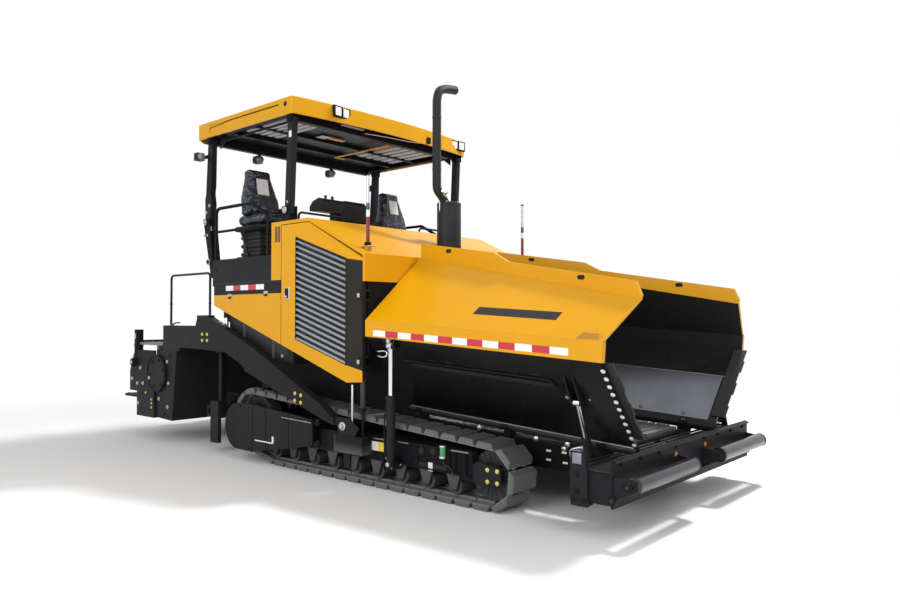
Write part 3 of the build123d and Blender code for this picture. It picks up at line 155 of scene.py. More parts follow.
def wear_group() -> bpy.types.NodeTree:
    """Builds the shared surface effect: mottled tone, dust on upward faces and rubbed edges.

    Returns:
        A group with a coloured output, a roughness and a bump height.
    """
    tree, given, result = group_shell(
        "surface_wear",
        {
            "Base": (0.5, 0.5, 0.5),
            "Dust": (0.42, 0.38, 0.33),
            "Edge": (0.4, 0.4, 0.4),
            "Mottle scale": 3.0,
            "Mottle": 0.1,
            "Dust amount": 0.1,
            "Edge amount": 0.1,
            "Grain scale": 300.0,
            "Roughness": 0.4,
            "Roughness spread": 0.1,
        },
        ("Worn colour", "Roughness", "Height"),
    )
    place = place_in(tree)
    feeds = {"Detail": 6.0, "Roughness": 0.6, "Vector": place, "Scale": given["Mottle scale"]}
    mottle = node(tree, "TexNoise", feeds).outputs["Fac"]
    darkest = maths(tree, "SUBTRACT", 1.0, given["Mottle"])
    tone = spread(tree, mottle, 0.3, 0.7, to_min=1.0, to_max=darkest)
    shaded = node(tree, "VectorMath", {0: given["Base"], "Scale": tone}, operation="SCALE").outputs[0]

    # dust settles where a face looks up
    shape = node(tree, "NewGeometry").outputs
    upward = node(tree, "SeparateXYZ", {0: shape["Normal"]}).outputs["Z"]
    dust = maths(tree, "MULTIPLY", spread(tree, upward, 0.3, 1.0), given["Dust amount"])
    dusty = mix(tree, maths(tree, "MULTIPLY", dust, mottle), shaded, given["Dust"])

    rubbed = maths(tree, "MULTIPLY", spread(tree, shape["Pointiness"], 0.52, 0.62), given["Edge amount"])
    grain = node(tree, "TexNoise", {"Detail": 3.0, "Vector": place, "Scale": given["Grain scale"]})
    gloss = maths(tree, "MULTIPLY_ADD", mottle, given["Roughness spread"], given["Roughness"])
    worn = mix(tree, rubbed, dusty, given["Edge"])
    feed(tree, result, {"Worn colour": worn, "Height": grain.outputs["Fac"], "Roughness": gloss})
    return tree


def bands_group() -> bpy.types.NodeTree:
    """Builds alternating bands along one direction, for marking strips and wrapped poles.

    Returns:
        A group whose mask is 0 and 1 in turn, each band as long as "Pitch".
    """
    tree, given, result = group_shell("bands", {"Position": 0.0, "Pitch": 0.17, "Start": 0.0}, ("Mask",))
    moved = maths(tree, "SUBTRACT", given["Position"], given["Start"])
    whole = maths(tree, "FLOOR", maths(tree, "DIVIDE", moved, given["Pitch"]))
    feed(tree, result, {"Mask": maths(tree, "FLOORED_MODULO", whole, 2.0)})
    return tree


def new_material(name: str) -> tuple[bpy.types.Material, bpy.types.NodeTree, bpy.types.Node]:
    """Makes a material, and returns it with its tree and its shader."""
    material = bpy.data.materials.new(name)
    material.use_nodes = True
    return material, material.node_tree, material.node_tree.nodes["Principled BSDF"]


WEAR = wear_group()
BANDS = bands_group()


@dataclass(frozen=True)
class Finish:
    """A hard surface: tone, mottle, dust, rubbed edges, grain and gloss."""

    name: str
    colour: Colour
    roughness: float = 0.4
    metallic: float = 0.0
    specular: float = 0.5
    coat: float = 0.0
    coat_roughness: float = 0.1
    mottle: float = 0.12
    mottle_scale: float = 2.5
    dust: float = 0.15
    dust_colour: Colour = (0.36, 0.33, 0.3)
    edge: float = 0.2
    edge_colour: Colour = (0.35, 0.35, 0.36)
    grain_scale: float = 350.0
    grain_depth: float = 0.0004
    roughness_spread: float = 0.15

    def build(self) -> bpy.types.Material:
        """Makes the material once, and returns it after that."""
        known = bpy.data.materials.get(f"{self.name}_finish")
        if known:
            return known
        material, tree, shader = new_material(f"{self.name}_finish")
        feeds = {
            "Base": self.colour,
            "Dust": self.dust_colour,
            "Edge": self.edge_colour,
            "Mottle scale": self.mottle_scale,
            "Mottle": self.mottle,
            "Dust amount": self.dust,
            "Edge amount": self.edge,
            "Grain scale": self.grain_scale,
            "Roughness": self.roughness - self.roughness_spread / 2,
            "Roughness spread": self.roughness_spread,
        }
        wear = node(tree, "Group", feeds, node_tree=WEAR)
        self.tint(tree, wear)
        bump = node(tree, "Bump", {"Distance": self.grain_depth, "Height": wear.outputs["Height"]})
        feeds = {
            "Base Color": wear.outputs["Worn colour"],
            "Roughness": wear.outputs["Roughness"],
            "Normal": bump.outputs["Normal"],
            "Metallic": self.metallic,
            "Specular IOR Level": self.specular,
            "Coat Weight": self.coat,
            "Coat Roughness": self.coat_roughness,
        }
        feed(tree, shader, feeds)
        return material

    def tint(self, tree: bpy.types.NodeTree, wear: bpy.types.Node) -> None:
        """Lets a kind of finish drive the base colour; a plain one doesn't."""


@dataclass(frozen=True)
class BandedFinish(Finish):
    """A finish in two colours that alternate along one direction."""

    second: Colour = (0.85, 0.85, 0.85)
    pitch: float = 0.17
    start: float = 0.0
    direction: Axis = Axis.X

    def tint(self, tree: bpy.types.NodeTree, wear: bpy.types.Node) -> None:
        """Feeds the banded colour into the wear group."""
        split = node(tree, "SeparateXYZ", {0: place_in(tree)}).outputs
        feeds = {"Pitch": self.pitch, "Start": self.start, "Position": split[self.direction.name]}
        bands = node(tree, "Group", feeds, node_tree=BANDS)
        feed(tree, wear, {"Base": mix(tree, bands.outputs["Mask"], self.colour, self.second)})


@dataclass(frozen=True)
class LouvreFinish(Finish):
    """A colour past one distance from the middle, and another one short of it: on the louvre the inner near-black is
    painted shade, on the walkway a real second colour.
    """

    # inner colour; its near-black default is painted shade inside the louvre
    hidden: Colour = (0.004, 0.004, 0.004)
    face_y: float = 1.25
    bright_depth: float = 0.019
    blend: float = 0.003
    direction: Axis = Axis.Y

    def tint(self, tree: bpy.types.NodeTree, wear: bpy.types.Node) -> None:
        """Feeds a colour that changes with the distance from the middle, along the finish's direction."""
        split = node(tree, "SeparateXYZ", {0: place_in(tree)}).outputs
        side = maths(tree, "ABSOLUTE", split[self.direction.name])
        start = self.face_y - self.bright_depth
        depth = spread(tree, side, start, start + self.blend)
        feed(tree, wear, {"Base": mix(tree, depth, self.hidden, self.colour)})


@dataclass(frozen=True)
class WrappedFinish(Finish):
    """Dark cloth under a crinkled clear wrap: pale creases, partly the wrap's own haze and partly painted highlights,
    and a glossy, folded coat.
    """

    film: Colour = (0.62, 0.65, 0.72)
    crease_scale: float = 9.0
    crease_depth: float = 0.012
    ridge_height: float = 0.14
    crease_start: float = 0.128
    crease_strength: float = 0.75

    def tint(self, tree: bpy.types.NodeTree, wear: bpy.types.Node) -> None:
        """Feeds pale creases, partly haze and partly painted highlight, into the wear group, and folds the coat."""
        feeds = {"Scale": self.crease_scale, "Detail": 5.0, "Distortion": 2.2, "Vector": place_in(tree)}
        folds = node(tree, "TexNoise", feeds).outputs["Fac"]
        ridge = maths(tree, "PINGPONG", folds, self.ridge_height)
        # pale creases: painted highlights on the wrap's wrinkles, partly its own haze
        crease = spread(tree, ridge, self.crease_start, self.ridge_height, to_max=self.crease_strength)
        feed(tree, wear, {"Base": mix(tree, crease, self.colour, self.film)})
        bump = node(tree, "Bump", {"Distance": self.crease_depth, "Height": ridge})
        feed(tree, tree.nodes["Principled BSDF"], {"Coat Normal": bump.outputs["Normal"]})


class Paint:
    """Every finish on the machine."""

    YELLOW = Finish(
        "yellow_paint", (0.71, 0.335, 0.001), 0.32, specular=0.15, coat=0.1, mottle=0.04, dust=0.008, edge=0.02
    )
    ROOF = Finish(
        "roof_gelcoat", (0.66, 0.32, 0.002), 0.36, specular=0.15, coat=0.08, mottle=0.05, dust=0.008, edge=0.015
    )
    BLACK = Finish("charcoal_paint", (0.0085, 0.0092, 0.0105), 0.4, specular=0.05, dust=0.008, edge=0.04)
    WING_BLACK = Finish("wing_black_paint", (0.004, 0.0045, 0.005), 0.28, specular=0.18, dust=0.01, edge=0.05)
    CAST = Finish("cast_steel", (0.009, 0.0088, 0.009), 0.5, specular=0.12, dust=0.05, edge=0.2, grain_depth=0.001)
    SHOE = Finish("track_steel", (0.014, 0.0135, 0.014), 0.42, specular=0.35, dust=0.15, edge=0.5, grain_depth=0.001)
    PAD = Finish("rubber_pads", (0.009, 0.009, 0.0095), 0.5, specular=0.4, dust=0.12, edge=0.3, grain_depth=0.001)
    ROLLER = Finish(
        "rolled_steel", (0.01, 0.011, 0.016), 0.24, specular=0.4, coat=0.2, mottle=0.02, dust=0.0, edge=0.0,
        roughness_spread=0.04
    )
    # painted shade: the slats turn near-black deeper than 19 mm inside the louvre
    SLAT = LouvreFinish("louvre_slats", (0.4, 0.42, 0.46), 0.35, metallic=0.3, dust=0.0, edge=0.2)
    CHROME = Finish("chromed_rod", (0.72, 0.72, 0.73), 0.12, metallic=1.0, mottle=0.05, dust=0.0, edge=0.0)
    ZINC = Finish("zinc_plate", (0.55, 0.55, 0.56), 0.3, metallic=0.9, dust=0.05, edge=0.2)
    TREAD = Finish("tread_plate", (0.2, 0.2, 0.21), 0.42, metallic=0.8, dust=0.1, edge=0.3)
    WALKWAY = LouvreFinish(
        "walkway_and_rails", (0.008, 0.008, 0.009), 0.42, metallic=0.5, dust=0.02, edge=0.05, hidden=(0.2, 0.2, 0.21),
        face_y=1.17, bright_depth=0.003, direction=Axis.Z
    )
    EXHAUST = Finish("heatproof_grey", (0.016, 0.016, 0.018), 0.45, specular=0.18, dust=0.01, edge=0.08)
    PLASTIC = Finish(
        "moulded_plastic", (0.009, 0.009, 0.0105), 0.45, specular=0.12, dust=0.015, edge=0.04, grain_depth=0.0008
    )
    RUBBER = Finish("black_rubber", (0.008, 0.008, 0.008), 0.6, specular=0.3, dust=0.08, edge=0.05)
    CORNER = Finish("brown_black_paint", (0.014, 0.0125, 0.009), 0.4, specular=0.06, dust=0.008, edge=0.04)
    YELLOW_ZINC = Finish("yellow_zinc", (0.8, 0.62, 0.12), 0.35, metallic=0.5, dust=0.0, edge=0.1)
    # painted shade: near-black for the shade inside holes, slots, grooves and openings
    VOID = Finish("painted_hole_shade", (0.004, 0.004, 0.004), 0.8, dust=0.0, edge=0.0)
    LABEL = Finish("blank_label", (0.78, 0.78, 0.76), 0.5, dust=0.1, edge=0.0)
    LABEL_YELLOW = Finish("blank_yellow_label", (0.85, 0.6, 0.05), 0.5, dust=0.1, edge=0.0)
    # rubbed steel, also used for the painted highlight lines on the frame's flange edges
    WORN = Finish("rubbed_steel", (0.3, 0.3, 0.3), 0.4, metallic=0.7, mottle=0.4, dust=0.1)
    GREEN_CAP = Finish("green_cap", (0.05, 0.3, 0.12), 0.4, dust=0.1, edge=0.1)
    RED = Finish("red_plastic", (0.6, 0.02, 0.02), 0.35, dust=0.05, edge=0.05)
    ORANGE = Finish("orange_cap", (0.9, 0.3, 0.02), 0.4, dust=0.0, edge=0.05)
    # painted shade: darker yellow for the shade in the notch at the lip's front
    SHADE_YELLOW = Finish("painted_shade_yellow", (0.45, 0.2, 0.005), 0.5, dust=0.1, edge=0.0)
    VENT = Finish("vent_mesh", (0.09, 0.035, 0.01), 0.6, dust=0.0, edge=0.1)
    LINER = Finish("rubbed_liner", (0.17, 0.18, 0.21), 0.22, metallic=0.7, mottle=0.3, dust=0.05, edge=0.1)
    CAP_GREY = Finish("grey_cap", (0.2, 0.22, 0.26), 0.35, metallic=0.3, dust=0.05, edge=0.2)
    CEILING = Finish("ceiling_panel", (0.42, 0.42, 0.45), 0.4, metallic=0.2, dust=0.0, edge=0.1)
    SWITCH = Finish("grey_switch", (0.08, 0.08, 0.085), 0.4, dust=0.05, edge=0.1)
    SCREEN = Finish("dark_screen", (0.01, 0.012, 0.02), 0.1, coat=0.6, dust=0.0, edge=0.0)
    # painted reflection: a pale, nearly plain colour stands in for the bolts' bright reflections
    BOLT = Finish("bright_bolts", (0.8, 0.8, 0.82), 0.3, metallic=0.2, dust=0.0, edge=0.0)
    LENS = Finish("lamp_lens", (0.85, 0.86, 0.88), 0.12, coat=0.7, mottle=0.05, dust=0.0, edge=0.0)
    BLUE_TAPE = Finish("blue_tape", (0.01, 0.1, 0.25), 0.35, dust=0.0, edge=0.0)
    WING_STRIP = BandedFinish(
        "wing_marking", (0.82, 0.83, 0.84), 0.3, coat=0.4, mottle=0.04, dust=0.05, edge=0.0,
        second=(0.52, 0.008, 0.02),
        pitch=0.1441, start=1.109,
    )
    SIDE_STRIP = BandedFinish(
        "side_marking", (0.82, 0.83, 0.84), 0.3, coat=0.4, mottle=0.04, dust=0.05, edge=0.0,
        second=(0.52, 0.008, 0.02),
        pitch=0.1334, start=-1.122,
    )
    POLE_BANDS = BandedFinish(
        "pole_marking", (0.2, 0.012, 0.03), 0.35, mottle=0.05, dust=0.0, edge=0.0, second=(0.8, 0.81, 0.82),
        pitch=0.22, start=2.08, direction=Axis.Z,
    )
    HOSE = BandedFinish(
        "wrapped_hose", (0.012, 0.012, 0.012), 0.45, coat=0.2, dust=0.1, edge=0.1, second=(0.05, 0.05, 0.052),
        pitch=0.018, start=-2.0,
    )
    WRAPPED = WrappedFinish(
        "wrapped_seat_cover", (0.005, 0.008, 0.02), 0.6, specular=0.2, coat=0.6, dust=0.0, edge=0.0, grain_scale=900.0
    )


# columns: node name, or its start, and the finish that it gets
NODE_FINISHES: tuple[tuple[str, Finish], ...] = (
    ("door_corner", Paint.CORNER),
    ("lamps", Paint.PLASTIC),
    ("rear_steps", Paint.TREAD),
    ("tow_points", Paint.CAST),
    ("side_door", Paint.YELLOW),
    ("side_panels", Paint.YELLOW),
    ("hood", Paint.YELLOW),
    ("wing_panel", Paint.YELLOW),
    ("roof_frame", Paint.BLACK),
    ("roof", Paint.ROOF),
    ("wing_rod", Paint.CHROME),
    ("lift_rods", Paint.CHROME),
    ("wing_barrel", Paint.BLACK),
    ("wing_flap", Paint.RUBBER),
    ("wing", Paint.WING_BLACK),
    ("track_wheels", Paint.CAST),
    ("track_frames", Paint.BLACK),
    ("track", Paint.SHOE),
    ("push_roller", Paint.ROLLER),
    ("louvre", Paint.SLAT),
    ("position_poles", Paint.ZINC),
    ("screed_walkway", Paint.WALKWAY),
    ("exhaust", Paint.EXHAUST),
    ("console", Paint.PLASTIC),
    ("seat_frames", Paint.PLASTIC),
    ("seat_cushions", Paint.WRAPPED),
    ("conveyors", Paint.SHOE),
    ("engine_block", Paint.CAST),
)


def finish_of(name: str) -> Finish:
    """Finds the finish of a CAD node by its name, charcoal paint where none is named."""
    for start, finish in NODE_FINISHES:
        if name.startswith(start):
            return finish
    return Paint.BLACK


def dress(piece: bpy.types.Object, *finishes: Finish) -> bpy.types.Object:
    """Gives a piece its materials, in slot order, and returns it."""
    piece.data.materials.clear()
    for finish in finishes:
        piece.data.materials.append(finish.build())
    return piece


# --- bench: each helper starts from a primitive and shapes it --------------------------------


def bare() -> None:
    """Deselects everything."""
    bpy.ops.object.select_all(action="DESELECT")


def edit(piece: bpy.types.Object) -> None:
    """Opens one piece in edit mode with all of it selected."""
    bare()
    piece.select_set(True)
    bpy.context.view_layer.objects.active = piece
    bpy.ops.object.mode_set(mode="EDIT")
    bpy.ops.mesh.select_all(action="SELECT")


def leave() -> bpy.types.Object:
    """Goes back to object mode and returns the active piece."""
    bpy.ops.object.mode_set(mode="OBJECT")
    return bpy.context.active_object


def block(low: Point, high: Point, bevel: float = 0.003, segments: int = 2) -> bpy.types.Object:
    """Makes a box with rounded edges.

    Args:
        low: its lowest corner.
        high: its highest corner.
        bevel: width of the rounding.
        segments: steps in the rounding.

    Returns:
        The new piece.
    """
    bare()
    size = Vector(high) - Vector(low)
    bpy.ops.mesh.primitive_cube_add(size=1.0, location=(Vector(low) + Vector(high)) / 2, scale=size)
    bpy.ops.object.transform_apply(location=True, rotation=True, scale=True)
    edit(bpy.context.active_object)
    bpy.ops.mesh.bevel(offset=min(bevel, min(size) * 0.45), segments=segments, affect="EDGES")
    return leave()


def rod(
    start: Point, end: Point, radius: float, sides: int = 24, rim: float = 0.002, end_radius: float | None = None
) -> bpy.types.Object:
    """Makes a round bar or cone with rounded rims.

    Args:
        start: middle of its first end.
        end: middle of its other end.
        radius: its radius.
        sides: flats around it; 6 makes a hexagon.
        rim: width of the rims' rounding.
        end_radius: radius at the other end, where it differs.

    Returns:
        The new piece.
    """
    bare()
    line = Vector(end) - Vector(start)
    bpy.ops.mesh.primitive_cone_add(
        vertices=sides,
        radius1=radius,
        radius2=radius if end_radius is None else end_radius,
        depth=line.length,
        location=(Vector(start) + Vector(end)) / 2,
        rotation=line.to_track_quat("Z", "Y").to_euler(),
    )
    bpy.ops.object.transform_apply(location=True, rotation=True, scale=True)
    piece = bpy.context.active_object
    edit(piece)
    bpy.ops.mesh.select_all(action="DESELECT")
    mesh = bmesh.from_edit_mesh(piece.data)
    for face in mesh.faces:
        if len(face.verts) > 4 or sides == 4:
            for edge in face.edges:
                edge.select_set(True)
    bmesh.update_edit_mesh(piece.data)
    bpy.ops.mesh.bevel(offset=min(rim, radius * 0.4, line.length * 0.4), segments=2, affect="EDGES")
    return leave()


def at_y(y: float, *points: Span) -> list[Point]:
    """Gives points (x, z) their place in the plane at y."""
    return [(x, y, z) for x, z in points]


def at_x(x: float, *points: Span) -> list[Point]:
    """Gives points (y, z) their place in the plane at x."""
    return [(x, y, z) for y, z in points]


def plate(outline: list[Point], thickness: Point, bevel: float = 0.0015) -> bpy.types.Object:
    """Makes a flat plate from a closed outline in space.

    Args:
        outline: corners in order.
        thickness: how far, and which way, the outline is extruded.
        bevel: width of the edges' rounding.

    Returns:
        The new piece.
    """
    bare()
    bpy.ops.mesh.primitive_circle_add(vertices=len(outline), radius=1.0, fill_type="NGON", location=(0, 0, 0))
    piece = bpy.context.active_object
    for vertex, place in zip(piece.data.vertices, outline):
        vertex.co = place
    edit(piece)
    bpy.ops.mesh.extrude_region_move(TRANSFORM_OT_translate={"value": thickness})
    bpy.ops.mesh.select_all(action="SELECT")
    bpy.ops.mesh.normals_make_consistent(inside=False)
    if bevel:
        bpy.ops.mesh.bevel(offset=bevel, segments=1, affect="EDGES")
    return leave()


def tube(points: list[Point], radius: float, order: int = 3, steps: int = 8) -> bpy.types.Object:
    """Makes a smooth pipe along a line of control points.

    Args:
        points: control points; the ends lie on the pipe.
        radius: the pipe's radius.
        order: 2 for straight runs, 3 for a smooth line.
        steps: rings for each control point.

    Returns:
        The new piece.
    """
    bare()
    data = bpy.data.curves.new("pipe", "CURVE")
    data.dimensions = "3D"
    data.bevel_depth = radius
    data.bevel_resolution = 3
    data.resolution_u = steps
    data.use_fill_caps = True
    spline = data.splines.new("NURBS")
    spline.points.add(len(points) - 1)
    for point, place in zip(spline.points, points):
        point.co = (*place, 1.0)
    spline.order_u = order
    spline.use_endpoint_u = True
    piece = bpy.data.objects.new("pipe", data)
    bpy.context.scene.collection.objects.link(piece)
    piece.select_set(True)
    bpy.context.view_layer.objects.active = piece
    bpy.ops.object.convert(target="MESH")
    edit(bpy.context.active_object)
    bpy.ops.mesh.remove_doubles(threshold=0.00005)
    bpy.ops.mesh.normals_make_consistent(inside=False)
    return leave()


def ring(centre: Point, facing: Point, radius: float, thickness: float) -> bpy.types.Object:
    """Makes a round ring that faces a direction."""
    bare()
    bpy.ops.mesh.primitive_torus_add(
        location=centre,
        rotation=Vector(facing).to_track_quat("Z", "Y").to_euler(),
        major_radius=radius,
        minor_radius=thickness,
        major_segments=32,
        minor_segments=8,
    )
    edit(bpy.context.active_object)
    bpy.ops.mesh.normals_make_consistent(inside=False)
    return leave()


def copies(template: bpy.types.Object, places: list[Matrix]) -> list[bpy.types.Object]:
    """Puts a copy of a piece, with its own mesh, at each place, and removes the piece itself."""
    made = []
    for place in places:
        twin = template.copy()
        twin.data = template.data.copy()
        bpy.context.scene.collection.objects.link(twin)
        twin.matrix_world = place
        made.append(twin)
    bpy.data.objects.remove(template)
    return made


def unite(name: str, parts: list[bpy.types.Object], smooth: float = 32.0) -> bpy.types.Object:
    """Joins parts into one piece whose place is in its mesh.

    Args:
        name: the piece's name.
        parts: finished parts with their materials.
        smooth: greatest angle, in degrees, between faces that shade as one.

    Returns:
        The joined piece.
    """
    bare()
    bpy.context.view_layer.update()
    for part in parts:
        part.select_set(True)
    bpy.context.view_layer.objects.active = parts[0]
    if len(parts) > 1:
        bpy.ops.object.join()
    piece = bpy.context.active_object
    bpy.ops.object.transform_apply(location=True, rotation=True, scale=True)
    bpy.ops.object.shade_smooth_by_angle(angle=radians(smooth))
    piece.name = name
    piece.data.name = name
    return piece


def batch(shape: Callable[..., bpy.types.Object], *rows: tuple) -> list[bpy.types.Object]:
    """Makes a dressed part from each row: its finish, and then what the shape's helper takes."""
    return [dress(shape(*sizes), finish) for finish, *sizes in rows]


def facing(place: Point, outward: Point) -> Matrix:
    """Gives the place of a template that was modelled at the origin and looks along +Z."""
    return Matrix.Translation(place) @ Vector(outward).to_track_quat("Z", "Y").to_matrix().to_4x4()


def fit(
    piece: bpy.types.Object, body: str, stands_for: tuple[str, ...] = ()
) -> bpy.types.Object:
    """Ties a finished piece to its body, hides the CAD nodes that it stands for, and reports it."""
    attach(piece, body)
    if stands_for:
        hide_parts(*stands_for)
    log.info("%s: %d faces on %s", piece.name, len(piece.data.polygons), body)
    return piece


def fit_pair(
    name: str, parts: list[bpy.types.Object], body: str, stands_for: str = ""
) -> None:
    """Joins right-hand parts, and fits them and their mirror image on the left.

    Args:
        name: the pieces' name, to which the side is added.
        parts: finished right-hand parts.
        body: the body's name, where "{}" stands for the side.
        stands_for: the CAD node that each replaces, with "{}" for the side, or nothing.
    """
    right = unite(f"{name}_right", parts)
    left = right.copy()
    left.data = right.data.copy()
    bpy.context.scene.collection.objects.link(left)
    left.scale = (1.0, -1.0, 1.0)
    left = unite(f"{name}_left", [left])
    edit(left)
    bpy.ops.mesh.normals_make_consistent(inside=False)
    leave()
    for piece, side in ((right, Side.RIGHT), (left, Side.LEFT)):
        nodes = (stands_for.format(side.word),) if stands_for else ()
        fit(piece, body.format(side.word), nodes)


@dataclass(frozen=True)
class Bolt:
    """A hexagon head on its washer."""

    radius: float = 0.011
    finish: Finish = Paint.ZINC

    def heads(self, spots: list[Point], outward: Point = (0, -1, 0)) -> list[bpy.types.Object]:
        """Puts a head at each spot, looking outward."""
        washer = rod((0, 0, -0.001), (0, 0, self.radius * 0.3), self.radius * 1.6, 20, self.radius * 0.08)
        head = rod((0, 0, 0), (0, 0, self.radius * 0.9), self.radius, 6, self.radius * 0.15)
        template = dress(unite("bolt", [washer, head]), self.finish)
        return copies(template, [facing(spot, outward) for spot in spots])


# --- undercarriage --------------------------------------------------------------------------


@dataclass
class Tracks:
    """Shoes with rubber pads on their chain, one loop for each side."""

    # columns: x, z, radius out to the pads; in the order of travel
    circles: tuple[Point, ...] = ((-0.43, 0.14, 0.14), (2.195, 0.255, 0.255), (-0.8, 0.41, 0.305))
    shoe_count: int = 42
    middle_y: float = -1.0
    half_width: float = 0.15
    chain_depth: float = 0.05

    def stations(self) -> tuple[list[Matrix], float]:
        """Finds where each shoe sits on the chain line.

        Returns:
            The shoes' places and the pitch between them.
        """
        rounds = [(Vector((x, z)), radius - self.chain_depth) for x, z, radius in self.circles]
        lines = []
        for (start, r0), (end, r1) in zip(rounds, rounds[1:] + rounds[:1]):
            along = (end - start).normalized()
            share = (r0 - r1) / (end - start).length
            out = along * share + Vector((along.y, -along.x)) * (1 - share * share) ** 0.5
            lines.append((start + out * r0, end + out * r1, out))
        stretches = []
        for index, (start, end, out) in enumerate(lines):
            centre, radius = rounds[(index + 1) % 3]
            first = atan2(out.y, out.x)
            turn = (atan2(lines[(index + 1) % 3][2].y, lines[(index + 1) % 3][2].x) - first) % (2 * pi)
            stretches.append(((end - start).length, lambda t, s=start, e=end, o=out: (s.lerp(e, t), o)))
            stretches.append(
                (radius * turn, lambda t, c=centre, r=radius, a=first, w=turn: self.on_arc(c, r, a + w * t))
            )
        pitch = sum(length for length, _ in stretches) / self.shoe_count
        places = []
        for index in range(self.shoe_count):
            left = (index + 0.5) * pitch
            for length, point in stretches:
                if left <= length:
                    spot, out = point(left / length)
                    break
                left -= length
            axes = Matrix(((-out.y, 0, out.x), (0, -1, 0), (out.x, 0, out.y))).transposed()
            places.append(Matrix.Translation((spot.x, self.middle_y, spot.y)) @ axes.to_4x4())
        return places, pitch

    @staticmethod
    def on_arc(centre: Vector, radius: float, angle: float) -> tuple[Vector, Vector]:
        """Gives a point on an arc and the direction out of it."""
        out = Vector((cos(angle), sin(angle)))
        return centre + out * radius, out

    def shoe(self, pitch: float) -> bpy.types.Object:
        """Models one shoe: a tapered rubber pad, its steel plate and chain links."""
        half = pitch / 2
        wide = self.half_width
        pad = block((-half * 0.9, -wide, 0.008), (half * 0.9, wide, self.chain_depth), 0.004, 1)
        edit(pad)
        bpy.ops.mesh.select_all(action="DESELECT")
        mesh = bmesh.from_edit_mesh(pad.data)
        for vertex in mesh.verts:
            vertex.select_set(vertex.co.z > self.chain_depth - 0.006)
        mesh.select_flush(True)
        bmesh.update_edit_mesh(pad.data)
        bpy.ops.transform.resize(value=(0.8, 0.97, 1.0), center_override=(0, 0, 0))
        pad = dress(leave(), Paint.PAD)
        steel = dress(
            block((-half * 0.96, -wide + 0.004, -0.001), (half * 0.96, wide - 0.004, 0.009), 0.002, 1), Paint.SHOE
        )
        parts = [pad, steel]
        for y in (-0.062, 0.062):
            parts.append(
                dress(block((-half * 1.02, y - 0.014, -0.019), (half * 0.9, y + 0.014, 0.0), 0.003, 1), Paint.SHOE)
            )
        return unite("shoe", parts)

    def build(self) -> None:
        """Lays the shoes round both loops."""
        places, pitch = self.stations()
        fit_pair("track_shoes", copies(self.shoe(pitch), places), "tractor", "track_{}")


